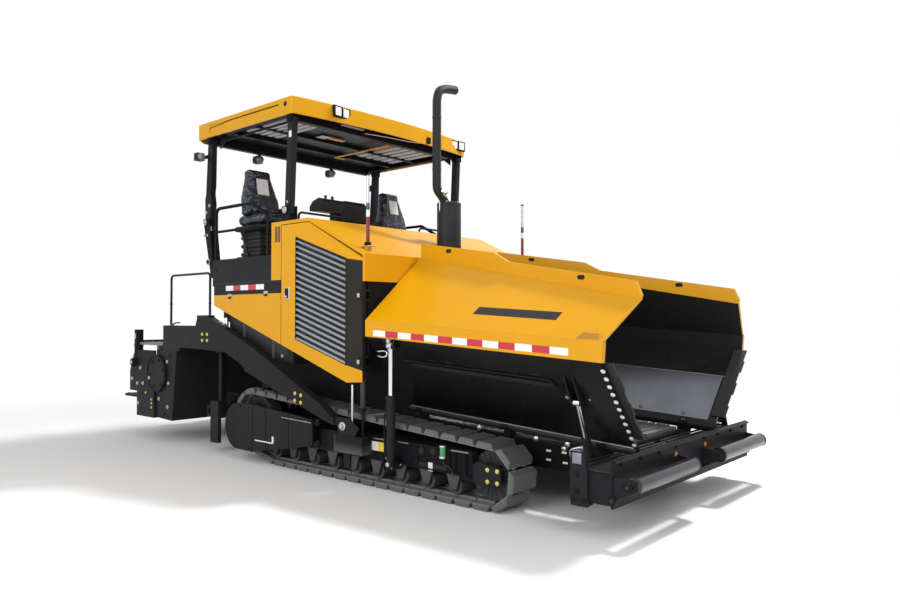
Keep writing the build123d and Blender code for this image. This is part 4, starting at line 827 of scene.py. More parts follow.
@dataclass
class Undercarriage:
    """Fittings on the track frames, drive covers and tow points."""

    frame_y: float = -1.137
    roller_z: float = 0.138
    roller_first: float = -0.43
    roller_pitch: float = 0.2869
    roller_count: int = 9
    cover_y: float = -1.245
    tow_pin: Span = (0.737, 0.502)  # x, z
    levelling_rod: Span = (0.896, -1.182)  # x, y
    valve_x: float = 1.785

    def build(self) -> None:
        """Makes the rollers' brackets, the frame's fittings and the covers' fittings."""
        self.rollers()
        self.frame_side()
        self.covers()
        self.tow_brackets()
        self.service_points()

    def rollers(self) -> None:
        """Adds hubs and guards to the track rollers."""
        parts = []
        for index in range(self.roller_count):
            x = self.roller_first + index * self.roller_pitch
            parts += batch(
                rod,
                (Paint.CAST, (x, -1.118, self.roller_z), (x, -1.098, self.roller_z), 0.042, 24, 0.004),
                (Paint.CAST, (x, -1.126, self.roller_z), (x, -1.116, self.roller_z), 0.018, 6, 0.002),
            )
            guard = at_y(-1.13, (x - 0.07, 0.232), (x - 0.03, 0.115), (x + 0.03, 0.115), (x + 0.07, 0.232))
            parts.append(dress(plate(guard, (0, 0.012, 0)), Paint.CAST))
        fit_pair("roller_guards", parts, "tractor")

    def frame_side(self) -> None:
        """Adds the idler yoke's bolts, the frame's pressed holes and slots with painted shade in them, blank labels
        and painted highlight strips.
        """
        y = self.frame_y
        yoke = at_y(y - 0.012, (2.1, 0.205), (2.335, 0.205), (2.335, 0.335), (2.1, 0.36))
        parts = [dress(plate(yoke, (0, 0.02, 0), 0.003), Paint.BLACK)]
        spots = [(x, y - 0.012, z) for x in (2.215, 2.305) for z in (0.225, 0.312)]
        parts += Bolt(0.0105, Paint.YELLOW_ZINC).heads(spots)
        # pressed holes: a black ring round a near-black disc of painted shade
        for x, z, radius in ((1.533, 0.372, 0.032), (1.66, 0.382, 0.032)):
            parts.append(dress(ring((x, y, z), (0, 1, 0), radius, 0.004), Paint.BLACK))
            parts.append(dress(rod((x, y - 0.0015, z), (x, y + 0.01, z), radius, 24, 0.001), Paint.VOID))
        # slots: near-black plates of painted shade
        for x in (1.533, 1.737):
            slot = dress(block((x - 0.07, y - 0.0015, 0.243), (x + 0.07, y + 0.01, 0.28), 0.018, 3), Paint.VOID)
            parts.append(slot)
        parts += batch(
            block,
            (Paint.LABEL, (0.96, y - 0.002, 0.31), (1.035, y + 0.002, 0.386), 0.0008, 1),
            (Paint.LABEL_YELLOW, (1.035, y - 0.002, 0.31), (1.105, y + 0.002, 0.386), 0.0008, 1),
            (Paint.LABEL, (1.612, y - 0.002, 0.222), (1.66, y + 0.002, 0.29), 0.0008, 1),
        )
        # painted highlights: thin light strips along the top flange edges
        for low, high in ((0.99, 1.12), (1.28, 1.4), (1.86, 2.03)):
            parts.append(dress(block((low, y - 0.012, 0.408), (high, y - 0.004, 0.419), 0.002, 1), Paint.WORN))
        fit_pair("frame_fittings", parts, "tractor")

    def covers(self) -> None:
        """Adds the drive covers' stay rod, corner marks, hinge rings and studs."""
        y = self.cover_y
        parts = [dress(rod((-0.15, y - 0.012, 0.498), (0.29, y - 0.012, 0.487), 0.007, 12, 0.001), Paint.WORN)]
        for x in (-0.12, 0.1, 0.26):
            parts.append(
                dress(block((x - 0.012, y - 0.018, 0.478), (x + 0.012, y + 0.002, 0.506), 0.003), Paint.BLACK)
            )
        parts += batch(
            block,
            (Paint.LABEL, (-0.6, y - 0.0012, 0.229), (-0.3, y + 0.002, 0.241), 0.0005, 1),
            (Paint.LABEL, (-0.322, y - 0.0012, 0.242), (-0.29, y + 0.002, 0.3), 0.0005, 1),
        )
        for z in (0.3, 0.49):
            parts.append(dress(ring((0.345, y + 0.022, z), (0, 0, 1), 0.028, 0.008), Paint.BLACK))
        # columns: x, z
        studs = (
            (-0.86, 0.548), (-0.7, 0.548), (-0.9, 0.142), (-0.7, 0.142), (-0.45, 0.515), (0.25, 0.3), (0.25, 0.49)
        )
        parts += Bolt(0.008, Paint.BLACK).heads([(x, y, z) for x, z in studs])
        fit_pair("cover_fittings", parts, "tractor")

    def tow_brackets(self) -> None:
        """Adds the tow pin's head, its plate and the levelling cylinder's caps."""
        pin_x, pin_z = self.tow_pin
        rod_x, rod_y = self.levelling_rod
        y = -1.25
        wing = at_y(y - 0.01, (0.66, 0.44), (0.87, 0.42), (0.93, 0.5), (0.79, 0.57), (0.7, 0.57), (0.65, 0.52))
        parts = [dress(plate(wing, (0, 0.009, 0), 0.002), Paint.BLACK)]
        parts += batch(
            rod,
            (Paint.ZINC, (pin_x, y - 0.03, pin_z), (pin_x, y - 0.008, pin_z), 0.038, 32, 0.004),
            (Paint.ZINC, (pin_x, y - 0.048, pin_z), (pin_x, y - 0.029, pin_z), 0.024, 6, 0.003),
            (Paint.BLACK, (rod_x, rod_y, 0.636), (rod_x, rod_y, 0.662), 0.03, 24, 0.004),
            (Paint.ZINC, (rod_x, rod_y, 0.886), (rod_x, rod_y, 0.902), 0.027, 24, 0.004),
        )
        parts += [dress(rod((0.822, -1.235, 0.5), (0.822, -1.235, 0.86), 0.011, 16, 0.001), Paint.ZINC)]
        parts += [dress(block((0.8, -1.248, 0.49), (0.844, -1.222, 0.512), 0.003), Paint.BLACK)]
        fit_pair("tow_bracket_fittings", parts, "tractor")

    def service_points(self) -> None:
        """Adds the greasing valve, the sensor lead and the small caps low on the frame's side."""
        y = self.frame_y - 0.02
        parts = [dress(rod((self.valve_x, y, 0.36), (self.valve_x, y, 0.43), 0.024, 20, 0.004), Paint.GREEN_CAP)]
        parts += batch(
            rod,
            (Paint.ZINC, (self.valve_x, y, 0.428), (self.valve_x, y, 0.444), 0.03, 20, 0.003),
            (Paint.ZINC, (self.valve_x, y, 0.344), (self.valve_x, y, 0.362), 0.032, 20, 0.003),
        )
        parts.append(
            dress(
                tube(
                    [(self.valve_x, y, 0.35), (1.79, y - 0.006, 0.29), (1.86, y - 0.006, 0.3), (1.9, y, 0.22)], 0.006
                ),
                Paint.RUBBER
            )
        )
        parts.append(dress(rod((1.17, y, 0.245), (1.17, y, 0.275), 0.014, 16, 0.003), Paint.LABEL))
        lead = [(1.19, y, 0.26), (1.22, y - 0.02, 0.2), (1.27, y - 0.02, 0.195), (1.31, y, 0.232)]
        parts.append(dress(tube(lead, 0.005), Paint.RED))
        lead = [(1.2, y, 0.25), (1.24, y - 0.01, 0.19), (1.29, y - 0.012, 0.2), (1.33, y, 0.24)]
        parts.append(dress(tube(lead, 0.005), Paint.YELLOW_ZINC))
        parts.append(dress(block((1.235, y - 0.026, 0.19), (1.275, y - 0.008, 0.21), 0.004), Paint.ZINC))
        fit_pair("service_points", parts, "tractor")


# --- tow arms and screed ----------------------------------------------------------------------


@dataclass
class ScreedDressing:
    """Bolts, linkages, cranks and gates of the screed and its arms."""

    arm_y: float = -1.25
    gate_y: float = -1.26
    side_y: float = -1.235
    crank_x: float = -3.063

    def build(self) -> None:
        """Dresses the arms, the main screed and its extensions."""
        self.arms()
        self.main_body()
        self.gates()
        self.walkway()

    def arms(self) -> None:
        """Adds the arms' yellow bolts and the pad on the hump."""
        y = self.arm_y
        spots = [(x, y, z) for x in (-1.575, -1.478) for z in (1.19, 1.255)]
        spots += at_y(y, (0.043, 0.735), (0.13, 0.722), (0.04, 0.668), (0.128, 0.655))
        parts = Bolt(0.0115, Paint.YELLOW_ZINC).heads(spots)
        parts.append(dress(block((-1.69, y - 0.006, 1.43), (-1.47, y + 0.086, 1.458), 0.009, 3), Paint.RUBBER))
        edge = at_y(y + 0.002, (-1.48, 1.441), (-0.6, 1.119), (-0.6, 1.1215), (-1.48, 1.4435))
        parts.append(dress(plate(edge, (0, 0.076, 0), 0.0006), Paint.BLACK))
        for x in (-1.33, -1.26):
            parts += Bolt(0.012).heads([(x, -1.19, 1.386 if x < -1.3 else 1.361)], (0.34, 0, 0.94))
        fit_pair("arm_fittings", parts, "screed")

    def main_body(self) -> None:
        """Adds the main screed's side bolts, level plate and linkage."""
        y = self.side_y
        spots = at_y(y, (-2.318, 0.687), (-2.531, 0.496), (-2.331, 0.416), (-2.347, 0.929))
        parts = Bolt(0.014).heads(spots)
        parts += Bolt(0.016, Paint.RUBBER).heads([(-2.31, y, 1.0), (-2.42, y, 0.33)])
        # depth linkage on the cross plate: slotted plate, spindle and red knob
        link_plate = at_y(-1.13, (-2.42, 1.105), (-2.1, 1.105), (-2.1, 1.14), (-2.3, 1.23), (-2.42, 1.2))
        parts.append(dress(plate(link_plate, (0, -0.012, 0), 0.002), Paint.ZINC))
        parts += batch(
            rod,
            (Paint.BLACK, (-2.36, -1.15, 1.2), (-2.36, -1.135, 1.2), 0.02, 20, 0.003),
            (Paint.ZINC, (-2.5, -1.1, 1.11), (-2.5, -1.1, 1.33), 0.012, 16, 0.002),
            (Paint.RED, (-2.5, -1.1, 1.3), (-2.5, -1.1, 1.35), 0.026, 20, 0.008),
        )
        parts += batch(
            tube,
            (Paint.RUBBER, at_x(-2.5, (-1.1, 1.35), (-1.04, 1.38), (-1.0, 1.37)), 0.008),
            (Paint.BLACK, at_y(-1.05, (-2.2, 1.11), (-2.21, 1.24), (-2.12, 1.26), (-2.08, 1.11)), 0.013),
        )
        fit_pair("screed_fittings", parts, "screed")

    def gates(self) -> None:
        """Adds the end gates' bolts, handles, spindle and flange ring."""
        y = self.gate_y
        spots = at_y(y, (-2.935, 0.838), (-3.005, 0.651), (-2.871, 0.659), (-2.98, 0.42), (-2.72, 0.73), (-3.14, 0.7))
        parts = Bolt(0.014).heads(spots)
        spots = [(-2.66, y, z) for z in (0.389, 0.435, 0.481)] + [(-2.8, y, 0.553)]
        parts += Bolt(0.009, Paint.YELLOW_ZINC).heads(spots)
        parts.append(dress(ring((-2.56, y - 0.001, 0.79), (0, 1, 0), 0.205, 0.006), Paint.BLACK))
        parts += Bolt(0.013, Paint.BLACK).heads(
            [(-2.56 + 0.16 * cos(a), y, 0.79 + 0.16 * sin(a)) for a in (0.3, 1.2, 2.2, 3.3, 4.3, 5.4)]
        )
        # painted shade: near-black disc for the shade inside the gate's round hole
        parts.append(dress(rod((-2.86, y - 0.004, 0.345), (-2.86, y + 0.01, 0.345), 0.035, 24, 0.004), Paint.VOID))
        # hand crank and its spindle on the gate post
        parts += batch(
            rod,
            (Paint.BLACK, (self.crank_x, y + 0.02, 0.9), (self.crank_x, y - 0.05, 0.9), 0.05, 24, 0.012),
            (Paint.ZINC, (self.crank_x, y - 0.048, 0.9), (self.crank_x, y - 0.056, 0.9), 0.02, 20, 0.003),
            (Paint.BLACK, (self.crank_x, -1.22, 1.262), (self.crank_x, -1.22, 1.29), 0.052, 24, 0.02),
        )
        parts.append(dress(block((-3.082, -1.272, 1.18), (-3.044, -1.262, 1.24), 0.003), Paint.ZINC))
        for z in (0.95, 1.1):
            parts.append(dress(ring((self.crank_x, -1.22, z), (0, 0, 1), 0.053, 0.006), Paint.BLACK))
        # foot step's grip ribs
        for index in range(9):
            low = -1.17 + index * 0.115
            parts.append(dress(block((-3.44, low, 0.499), (-3.05, low + 0.02, 0.506), 0.002, 1), Paint.BLACK))
        fit_pair("gate_fittings", parts, "screed_extension_{}")

    def walkway(self) -> None:
        """Adds the walkway's raised grip pattern, toe strips and the handrails' feet."""
        stud = dress(block((-0.019, -0.006, -0.001), (0.019, 0.006, 0.0035), 0.002, 1), Paint.TREAD)
        places = []
        for row in range(8):
            for column in range(14):
                turn = Matrix.Rotation(radians(45 if (row + column) % 2 else -45), 4, "Z")
                places.append(Matrix.Translation((-2.96 + row * 0.065, -1.19 + column * 0.085, 1.14)) @ turn)
        parts = copies(stud, places)
        for x in (-2.99, -2.1):
            parts.append(
                dress(
                    rod(
                        (x, -0.85, 1.141 if x < -2.5 else 1.101), (x, -0.85, 1.157 if x < -2.5 else 1.117), 0.034, 24,
                        0.004
                    ),
                    Paint.BLACK
                )
            )
            parts.append(dress(ring((x, -0.85, 1.6), (0, 0, 1), 0.016, 0.004), Paint.BLACK))
        parts.append(dress(block((-3.008, -1.23, 1.135), (-2.99, 0.0, 1.165), 0.003), Paint.BLACK))
        fit_pair("walkway_grip", parts, "screed")


# --- hopper ---------------------------------------------------------------------------------


@dataclass
class Hopper:
    """Yellow lips, marking strips, bolts, hooks, liners and the front beam's fittings."""

    rear_x: float = 1.01
    lip_front: Span = (3.231, 3.24)  # x of the lip's front edge, at its foot and at its top
    hinge_y: float = 0.7
    edge_y: float = 1.262
    edge_rise: float = 0.646
    lip: float = 0.132
    panel_slope: float = radians(40.0)
    rim_fall: float = 0.1805
    strip_start: float = 1.109
    strip_segment: float = 0.1441
    strip_count: int = 13
    normal_y: float = 0.7546  # across the wing's plate
    normal_z: float = 0.6564
    liner_rear: float = 1.012

    def build(self) -> None:
        """Dresses both wings, the floor and the beam."""
        self.lips()
        self.strips()
        self.wing_fittings()
        self.liners()
        self.floor()
        self.beam()

    def hinge_z(self, x: float) -> float:
        """Height of the hinge line."""
        return 0.639 - 0.05998 * (x - 0.935)

    def crease_z(self, x: float) -> float:
        """Height at which the leaning panel turns up into the rim."""
        return 1.9805 - self.rim_fall * (x - self.rear_x)

    def on_plate(self, x: float, share: float, out: float = 0.0) -> Point:
        """Gives a point on the right wing's lower plate.

        Args:
            x: its place along the machine.
            share: 0 at the hinge, 1 at the outer edge.
            out: distance outwards from the outer face.

        Returns:
            The point.
        """
        y = -self.hinge_y - (self.edge_y - self.hinge_y) * share - self.normal_y * out
        return (x, y, self.hinge_z(x) + self.edge_rise * share - self.normal_z * out)

    def on_panel(self, x: float, up: float, out: float = 0.0) -> Point:
        """Gives a point on the right wing's leaning panel, "up" metres above the lip."""
        y = -self.edge_y + up * cos(self.panel_slope) - sin(self.panel_slope) * out
        low = self.hinge_z(x) + self.edge_rise + self.lip
        return (x, y, low + up * sin(self.panel_slope) + cos(self.panel_slope) * out)

    def lips(self) -> None:
        """Covers the upright lip of each wing in yellow sheet."""
        y = -self.edge_y
        foot, top = self.lip_front
        corners = []
        for x, share in ((self.rear_x, 0.0), (foot, 0.0), (top, 1.0), (self.rear_x, 1.0)):
            corners.append((x, y, self.hinge_z(x) + self.edge_rise + self.lip * share - 0.004 * (1 - share)))
        sheet = dress(plate(corners, (0, -0.0025, 0), 0.001), Paint.YELLOW)
        edge = [(x + 0.0005, y, z) for x, y, z in (corners[1], corners[2])]
        end = dress(
            plate(
                [*edge, (edge[1][0], y + 0.03, edge[1][2]), (edge[0][0], y + 0.03, edge[0][2])], (0.0025, 0, 0),
                0.0008
            ),
            Paint.YELLOW
        )
        fit_pair("wing_lip", [sheet, end], "hopper_wing_{}")

    def strips(self) -> None:
        """Adds the long marking strip along each wing and the plain bar above it."""
        y = -self.edge_y - 0.0025
        end_x = self.strip_start + self.strip_segment * self.strip_count
        corners = []
        for x, lift in ((self.strip_start, -0.025), (end_x, -0.025), (end_x, 0.025), (self.strip_start, 0.025)):
            corners.append((x, y, 1.306 - (x - self.strip_start) * 0.0528 + lift))
        strip = dress(plate(corners, (0, -0.0012, 0), 0.0004), Paint.WING_STRIP)
        fit_pair("wing_strip", [strip], "hopper_wing_{}")
        bar = [self.on_panel(x, up) for x, up in ((2.06, 0.172), (2.8, 0.172), (2.815, 0.258), (2.075, 0.258))]
        thin = Vector((0, -sin(self.panel_slope), cos(self.panel_slope))) * 0.0012
        fit_pair("wing_bar", [dress(plate(bar, tuple(thin), 0.0004), Paint.WING_BLACK)], "hopper_wing_{}")

    def wing_fittings(self) -> None:
        """Adds flap bolts, stitched seams, the latch, ear caps and a plate of painted shade for the notch at the
        lip's front.
        """
        outward = (0.0, -self.normal_y, -self.normal_z)
        spots = [self.on_plate(3.183 + 0.0275 * share, share) for share in [0.07 + 0.0835 * i for i in range(11)]]
        # flap bolts: their pale colour is a painted reflection
        parts = Bolt(0.0105, Paint.BOLT).heads(spots, outward)
        seam = [self.on_plate(x, share, 0.0105) for x, share in ((1.32, 0.735), (2.74, 0.735), (2.78, 0.66))]
        parts.append(dress(tube(seam, 0.004, 2), Paint.WING_BLACK))
        for index in range(6):
            x = 1.6 + index * 0.2
            dash = [self.on_plate(x, 0.765, 0.001), self.on_plate(x + 0.07, 0.765, 0.001)]
            parts.append(dress(tube(dash, 0.0035, 2), Paint.WING_BLACK))
        hem = [self.on_plate(x, 0.035, 0.004) for x in (1.03, 3.17)]
        parts.append(dress(tube(hem, 0.006, 2), Paint.WORN))
        hook = at_y(-1.2, (1.1, 1.15), (1.2, 1.165), (1.215, 1.12), (1.15, 1.1), (1.1, 1.115))
        parts.append(dress(tube(hook, 0.007), Paint.CHROME))
        for lift in (-0.012, 0.03):
            spot = (1.31, -1.298, 1.215 + lift)
            parts.append(dress(rod(spot, (1.31, -1.262, 1.215 + lift), 0.017, 20, 0.004), Paint.ZINC))
        eye = self.on_plate(2.905, 0.55, 0.0)
        for x in (2.86, 2.95):
            parts.append(
                dress(rod((x - 0.006, -0.963, 0.836), (x + 0.006, -0.963, 0.836), 0.02, 20, 0.004), Paint.BLACK)
            )
        parts += Bolt(0.01).heads([(eye[0] - 0.09, eye[1], eye[2]), (eye[0] + 0.09, eye[1], eye[2])], outward)
        # painted shade: a flat darker yellow plate where the lip's front has a notch
        recess = at_y(-1.2646, (3.035, 1.3), (3.097, 1.338), (3.215, 1.33), (3.206, 1.293))
        parts.append(dress(plate(recess, (0, -0.0008, 0), 0.0002), Paint.SHADE_YELLOW))
        fit_pair("wing_fittings", parts, "hopper_wing_{}")

    def liners(self) -> None:
        """Lines the lower half of each wing inside with rubbed steel sheet."""
        inner = -0.0312
        corners = [
            self.on_plate(x, share, inner) for x, share in ((1.05, 0.06), (3.12, 0.06), (3.14, 0.6), (1.05, 0.6))
        ]
        sheet = dress(plate(corners, (0.0, self.normal_y * 0.0015, self.normal_z * 0.0015), 0.0005), Paint.LINER)
        crease = [self.on_plate(x, 0.605, inner - 0.001) for x in (1.05, 3.16)]
        parts = [sheet, dress(tube(crease, 0.005, 2), Paint.WORN)]
        spots = [self.on_plate(x, 0.1, inner - 0.001) for x in (1.3, 1.7, 2.1, 2.5, 2.9)]
        parts += Bolt(0.012, Paint.LINER).heads(spots, (0, self.normal_y, self.normal_z))
        # black inner side of the leaning panel, up to the rim
        back = []
        for x, share in ((self.liner_rear, 0.0), (3.236, 0.0), (3.326, 1.0), (self.liner_rear, 1.0)):
            low = self.hinge_z(x) + self.edge_rise + self.lip
            rise = self.crease_z(x) - low
            back.append((x, -self.edge_y + 0.0308 + rise * share / 0.8391, low + (rise - 0.012) * share - 0.0008))
        parts.append(dress(plate(back, (0.0, 0.0009, -0.0012), 0.0003), Paint.WING_BLACK))
        inside = [
            (x, -self.edge_y + 0.0308, self.hinge_z(x) + self.edge_rise + lift) for x,
            lift in ((self.liner_rear, 0.02), (3.225, 0.02), (3.236, self.lip), (self.liner_rear, self.lip))
        ]
        parts.append(dress(plate(inside, (0.0, 0.001, 0.0), 0.0003), Paint.WING_BLACK))
        # painted shade: two small near-black patches on the inside of the rim
        for x, z in ((1.39, 2.01), (2.83, 1.722)):
            rim_y = -self.edge_y + (self.crease_z(x) - self.hinge_z(x) - self.edge_rise - self.lip) / 0.8391
            parts.append(
                dress(
                    block((x - 0.04, rim_y + 0.006, z - 0.02), (x + 0.04, rim_y + 0.012, z + 0.02), 0.002, 1),
                    Paint.VOID
                )
            )
        fit_pair("wing_liner", parts, "hopper_wing_{}")

    def floor(self) -> None:
        """Adds scraper chains and their bars."""
        chain = block((-0.03, -0.012, 0.0), (0.03, 0.012, 0.022), 0.005, 1)
        places = []
        for y in (-0.545, -0.075):
            places += [Matrix.Translation((-1.2 + index * 0.075, y, 0.5035)) for index in range(54)]
        parts = copies(dress(chain, Paint.SHOE), places)
        bar = dress(block((-0.014, -0.235, 0.0), (0.014, 0.235, 0.016), 0.003, 1), Paint.WORN)
        parts += copies(bar, [Matrix.Translation((0.9 + index * 0.24, -0.31, 0.504)) for index in range(9)])
        fit_pair("conveyor_chain", parts, "tractor")

    def beam(self) -> None:
        """Adds the beam's caps, bolts, steps and the rollers' collars."""
        y = -1.2415
        parts = [dress(block((2.995, y, 0.478), (3.064, y + 0.005, 0.55), 0.002), Paint.CAP_GREY)]
        parts.append(dress(block((2.99, -1.238, 0.5605), (3.06, -1.205, 0.5665), 0.002), Paint.CAP_GREY))
        parts += Bolt(0.012, Paint.BLACK).heads([(3.03, y + 0.001, 0.41), (3.03, y + 0.001, 0.3)])
        parts += Bolt(0.012, Paint.BLACK).heads([(3.08, y + 0.001, 0.25), (3.0, y + 0.001, 0.25)])
        parts += Bolt(0.011, Paint.ORANGE).heads([(3.274, -0.27, 0.438)], (1, 0, 0))
        parts += Bolt(0.014, Paint.BLACK).heads([(3.274, -1.1 + 0.28 * i, 0.49) for i in range(4)], (1, 0, 0))
        lip = [(3.262, -1.2, 0.5205), (3.262, 0.0, 0.5205), (3.3, 0.0, 0.505), (3.3, -1.2, 0.505)]
        parts.append(dress(plate(lip, (0, 0, 0.008), 0.002), Paint.BLACK))
        ledge = [(2.97, -1.19, 0.4315), (3.255, -1.19, 0.4315), (3.255, 0.0, 0.4315), (2.97, 0.0, 0.4315)]
        parts.append(dress(plate(ledge, (0, 0, 0.006), 0.002), Paint.CAST))
        for x in (3.0, 3.06):
            parts.append(dress(tube(at_x(x, (-1.17, 0.46), (-0.6, 0.46), (-0.05, 0.46)), 0.009, 2), Paint.RUBBER))
        for spot in ((3.27, 0.27), (3.38, 0.372)):
            parts += batch(
                rod,
                (Paint.BLACK, (spot[0], -1.222, spot[1]), (spot[0], -1.207, spot[1]), 0.03, 24, 0.004),
                (Paint.CAST, (spot[0], -1.231, spot[1]), (spot[0], -1.22, spot[1]), 0.014, 6, 0.002),
            )
        parts.append(dress(block((3.0, -1.235, 0.206), (3.1, -1.15, 0.222), 0.004), Paint.BLACK))
        fit_pair("beam_fittings", parts, "tractor")
        rings = []
        for place in (-1.176, -1.158, -0.257, -0.239):
            rings.append(dress(ring((3.395, place, 0.372), (0, 1, 0), 0.0535, 0.0035), Paint.BLACK))
        for place in (-1.1805, -0.2345):
            way = 1 if place > -0.7 else -1
            rings.append(
                dress(rod((3.395, place, 0.372), (3.395, place + way * 0.0025, 0.372), 0.04, 28, 0.001), Paint.CAST)
            )
        fit_pair("roller_collars", rings, "push_roller_{}")


# --- sides of the tractor ---------------------------------------------------------------------


@dataclass
class Sides:
    """Latches, strips, vents and pipes on the tractor's sides and its doors."""

    side_y: float = -1.25
    door_face: float = -1.25
    door_sheet: float = 0.0405
    opening: tuple[tuple[float, float], ...] = (
        (0.0355, 1.2315), (0.7415, 1.0255), (0.7415, 1.9515), (0.0355, 2.1855)
    )

    def build(self) -> None:
        """Dresses the side panels, doors, chassis and cylinders."""
        self.panels()
        self.doors()
        self.tanks()
        self.chassis()
        self.hoses()
        self.cylinders()
        self.exhaust()

    def panels(self) -> None:
        """Adds the short marking strip, its latches and the vents."""
        y = self.side_y - 0.0005
        strip = dress(block((-1.122, y - 0.0012, 1.707), (-0.455, y + 0.001, 1.759), 0.0005, 1), Paint.SIDE_STRIP)
        fit_pair("side_strip", [strip], "tractor")
        parts = []
        for x, z in ((-1.047, 1.652), (-0.421, 1.668)):
            parts += batch(
                block,
                (Paint.ZINC, (x - 0.034, y - 0.006, z - 0.008), (x + 0.034, y + 0.001, z + 0.022), 0.003),
                (Paint.BLACK, (x - 0.026, y - 0.012, z - 0.026), (x + 0.026, y - 0.004, z - 0.004), 0.004),
                (Paint.ZINC, (x - 0.008, y - 0.014, z - 0.012), (x + 0.008, y - 0.005, z + 0.012), 0.002),
            )
        for x in (-0.262, -0.215):
            parts.append(
                dress(block((x - 0.017, y - 0.0008, 2.15), (x + 0.017, y + 0.002, 2.3), 0.0007, 1), Paint.VENT)
            )
            for index in range(7):
                z = 2.158 + index * 0.0205
                parts.append(
                    dress(block((x - 0.016, y - 0.003, z), (x + 0.016, y + 0.001, z + 0.006), 0.002, 1), Paint.VENT)
                )
        for low, high, z in ((-1.34, -1.3, 1.92), (-0.37, -0.345, 1.95)):
            parts.append(dress(block((low, y - 0.004, z - 0.012), (high, y + 0.001, z + 0.012), 0.003), Paint.BLACK))
        parts.append(dress(block((-1.49, -1.256, 1.99), (-1.445, -1.232, 2.055), 0.006), Paint.ZINC))
        parts.append(dress(rod((-1.468, -1.262, 2.023), (-1.468, -1.235, 2.023), 0.022, 24, 0.004), Paint.BLACK))
        parts.append(dress(block((-1.35, y - 0.003, 1.776), (-0.2, y + 0.001, 1.786), 0.002, 1), Paint.WING_BLACK))
        fit_pair("panel_fittings", parts, "tractor")

    def doors(self) -> None:
        """Adds door latches, hinge pins, the corner's fold and the painted shade lining the louvre's opening."""
        y = self.door_face
        parts = [dress(block((-0.118, y - 0.008, 1.6), (-0.045, y + 0.003, 1.722), 0.02, 3), Paint.ZINC)]
        parts += batch(
            # painted shade: near-black plate in the latch's recess
            block,
            (Paint.VOID, (-0.105, y - 0.012, 1.614), (-0.058, y - 0.002, 1.708), 0.014, 3),
            (Paint.BLACK, (-0.098, y - 0.02, 1.645), (-0.065, y - 0.008, 1.702), 0.006),
        )
        parts.append(dress(rod((-0.082, y - 0.02, 1.63), (-0.082, y - 0.006, 1.63), 0.011, 20, 0.002), Paint.CHROME))
        for z in (1.03, 1.59):
            parts += batch(
                block,
                (Paint.CORNER, (0.919, y - 0.029, z - 0.001), (0.9915, y - 0.0005, z + 0.061), 0.006),
                (Paint.ZINC, (0.925, y - 0.031, z + 0.012), (0.955, y - 0.026, z + 0.048), 0.002),
            )
            parts += Bolt(0.006, Paint.BLACK).heads([(0.972, y - 0.029, z + lift) for lift in (0.014, 0.046)])
        # dark folds beside the corner panel, and the door's dark front edge
        strips = [((0.7415, 1.022), (0.756, 1.018), (0.756, 1.946), (0.7415, 1.955))]
        strips.append(((0.958, 0.978), (0.9622, 0.977), (0.9622, 1.914), (0.958, 1.916)))
        for corners in strips:
            parts.append(dress(plate([(x, y - 0.0008, z) for x, z in corners], (0, 0.0012, 0), 0.0003), Paint.CORNER))
        edge = [(0.9625, y - 0.0005, z) for z in (0.893, 1.945)] + [
            (0.9625, y + self.door_sheet, z) for z in (1.945, 0.893)
        ]
        parts.append(dress(plate(edge, (0.001, 0, 0), 0.0003), Paint.CORNER))
        # painted shade: near-black lining around the louvre's opening
        rear = self.opening[0][0]
        for near, far in zip(self.opening, self.opening[1:] + self.opening[:1]):
            wall = [
                (x, y + depth, z) for (x, z), depth in ((near, 0.0015), (far, 0.0015), (far, 0.029), (near, 0.029))
            ]
            inward = (0.0012, 0, 0) if near[0] == far[0] == rear else (-0.0012, 0, 0) if near[0] == far[0] else (
                0, 0, 0.0012 if near[1] < 1.5 else -0.0012
            )
            parts.append(dress(plate(wall, inward, 0.0002), Paint.VOID))
        fit_pair("door_fittings", parts, "door_{}")

    def tanks(self) -> None:
        """Hangs a black tank with its straps and drain behind each side panel."""
        y = -1.14
        shape = at_y(y, (-1.235, 1.09), (-0.14, 0.99), (-0.14, 1.25), (-1.235, 1.6))
        parts = [dress(plate(shape, (0, 0.42, 0), 0.012), Paint.BLACK)]
        for x in (-0.95, -0.45):
            foot = 1.09 - 0.0913 * (x + 1.235)
            strap = at_y(
                y - 0.004, (x - 0.02, foot), (x + 0.02, foot), (x + 0.02, foot + 0.3), (x - 0.02, foot + 0.3)
            )
            parts.append(dress(plate(strap, (0, 0.005, 0), 0.001), Paint.CAST))
        frame_line = [(x, y - 0.003, z) for x, z in ((-1.16, 1.15), (-0.22, 1.065), (-0.22, 1.2), (-1.16, 1.43))]
        parts.append(dress(plate(frame_line, (0, 0.004, 0), 0.0015), Paint.WING_BLACK))
        parts.append(dress(rod((-0.3, y, 1.06), (-0.3, y - 0.01, 1.06), 0.02, 6, 0.003), Paint.ZINC))
        rear = at_y(-1.12, (-1.36, 1.42), (-1.2, 1.36), (-1.2, 1.64), (-1.36, 1.7))
        parts.append(dress(plate(rear, (0, 0.03, 0), 0.004), Paint.BLACK))
        fit_pair("side_tank", parts, "tractor")

    def chassis(self) -> None:
        """Adds bolts, blank marks, a pipe and a coupling low on the chassis."""
        spots = at_y(-0.661, (2.309, 0.49), (2.595, 0.48), (1.744, 0.52), (2.031, 0.506))
        parts = Bolt(0.014).heads(spots)
        for x, z in ((2.429, 0.413), (2.428, 0.344), (2.568, 0.414), (2.577, 0.338)):
            parts.append(
                dress(block((x - 0.022, -0.664, z - 0.008), (x + 0.022, -0.659, z + 0.008), 0.002, 1), Paint.LABEL)
            )
        pipe = [(2.8, -0.8, 0.5), (2.73, -0.81, 0.485), (2.705, -0.81, 0.45), (2.725, -0.8, 0.4)]
        parts.append(dress(tube(pipe, 0.009), Paint.ZINC))
        parts += batch(
            rod,
            (Paint.ZINC, (2.8, -0.8, 0.5), (2.835, -0.8, 0.505), 0.017, 6, 0.003),
            (Paint.ZINC, (2.63, -0.78, 0.47), (2.665, -0.78, 0.475), 0.02, 20, 0.005),
        )
        fit_pair("chassis_fittings", parts, "tractor")

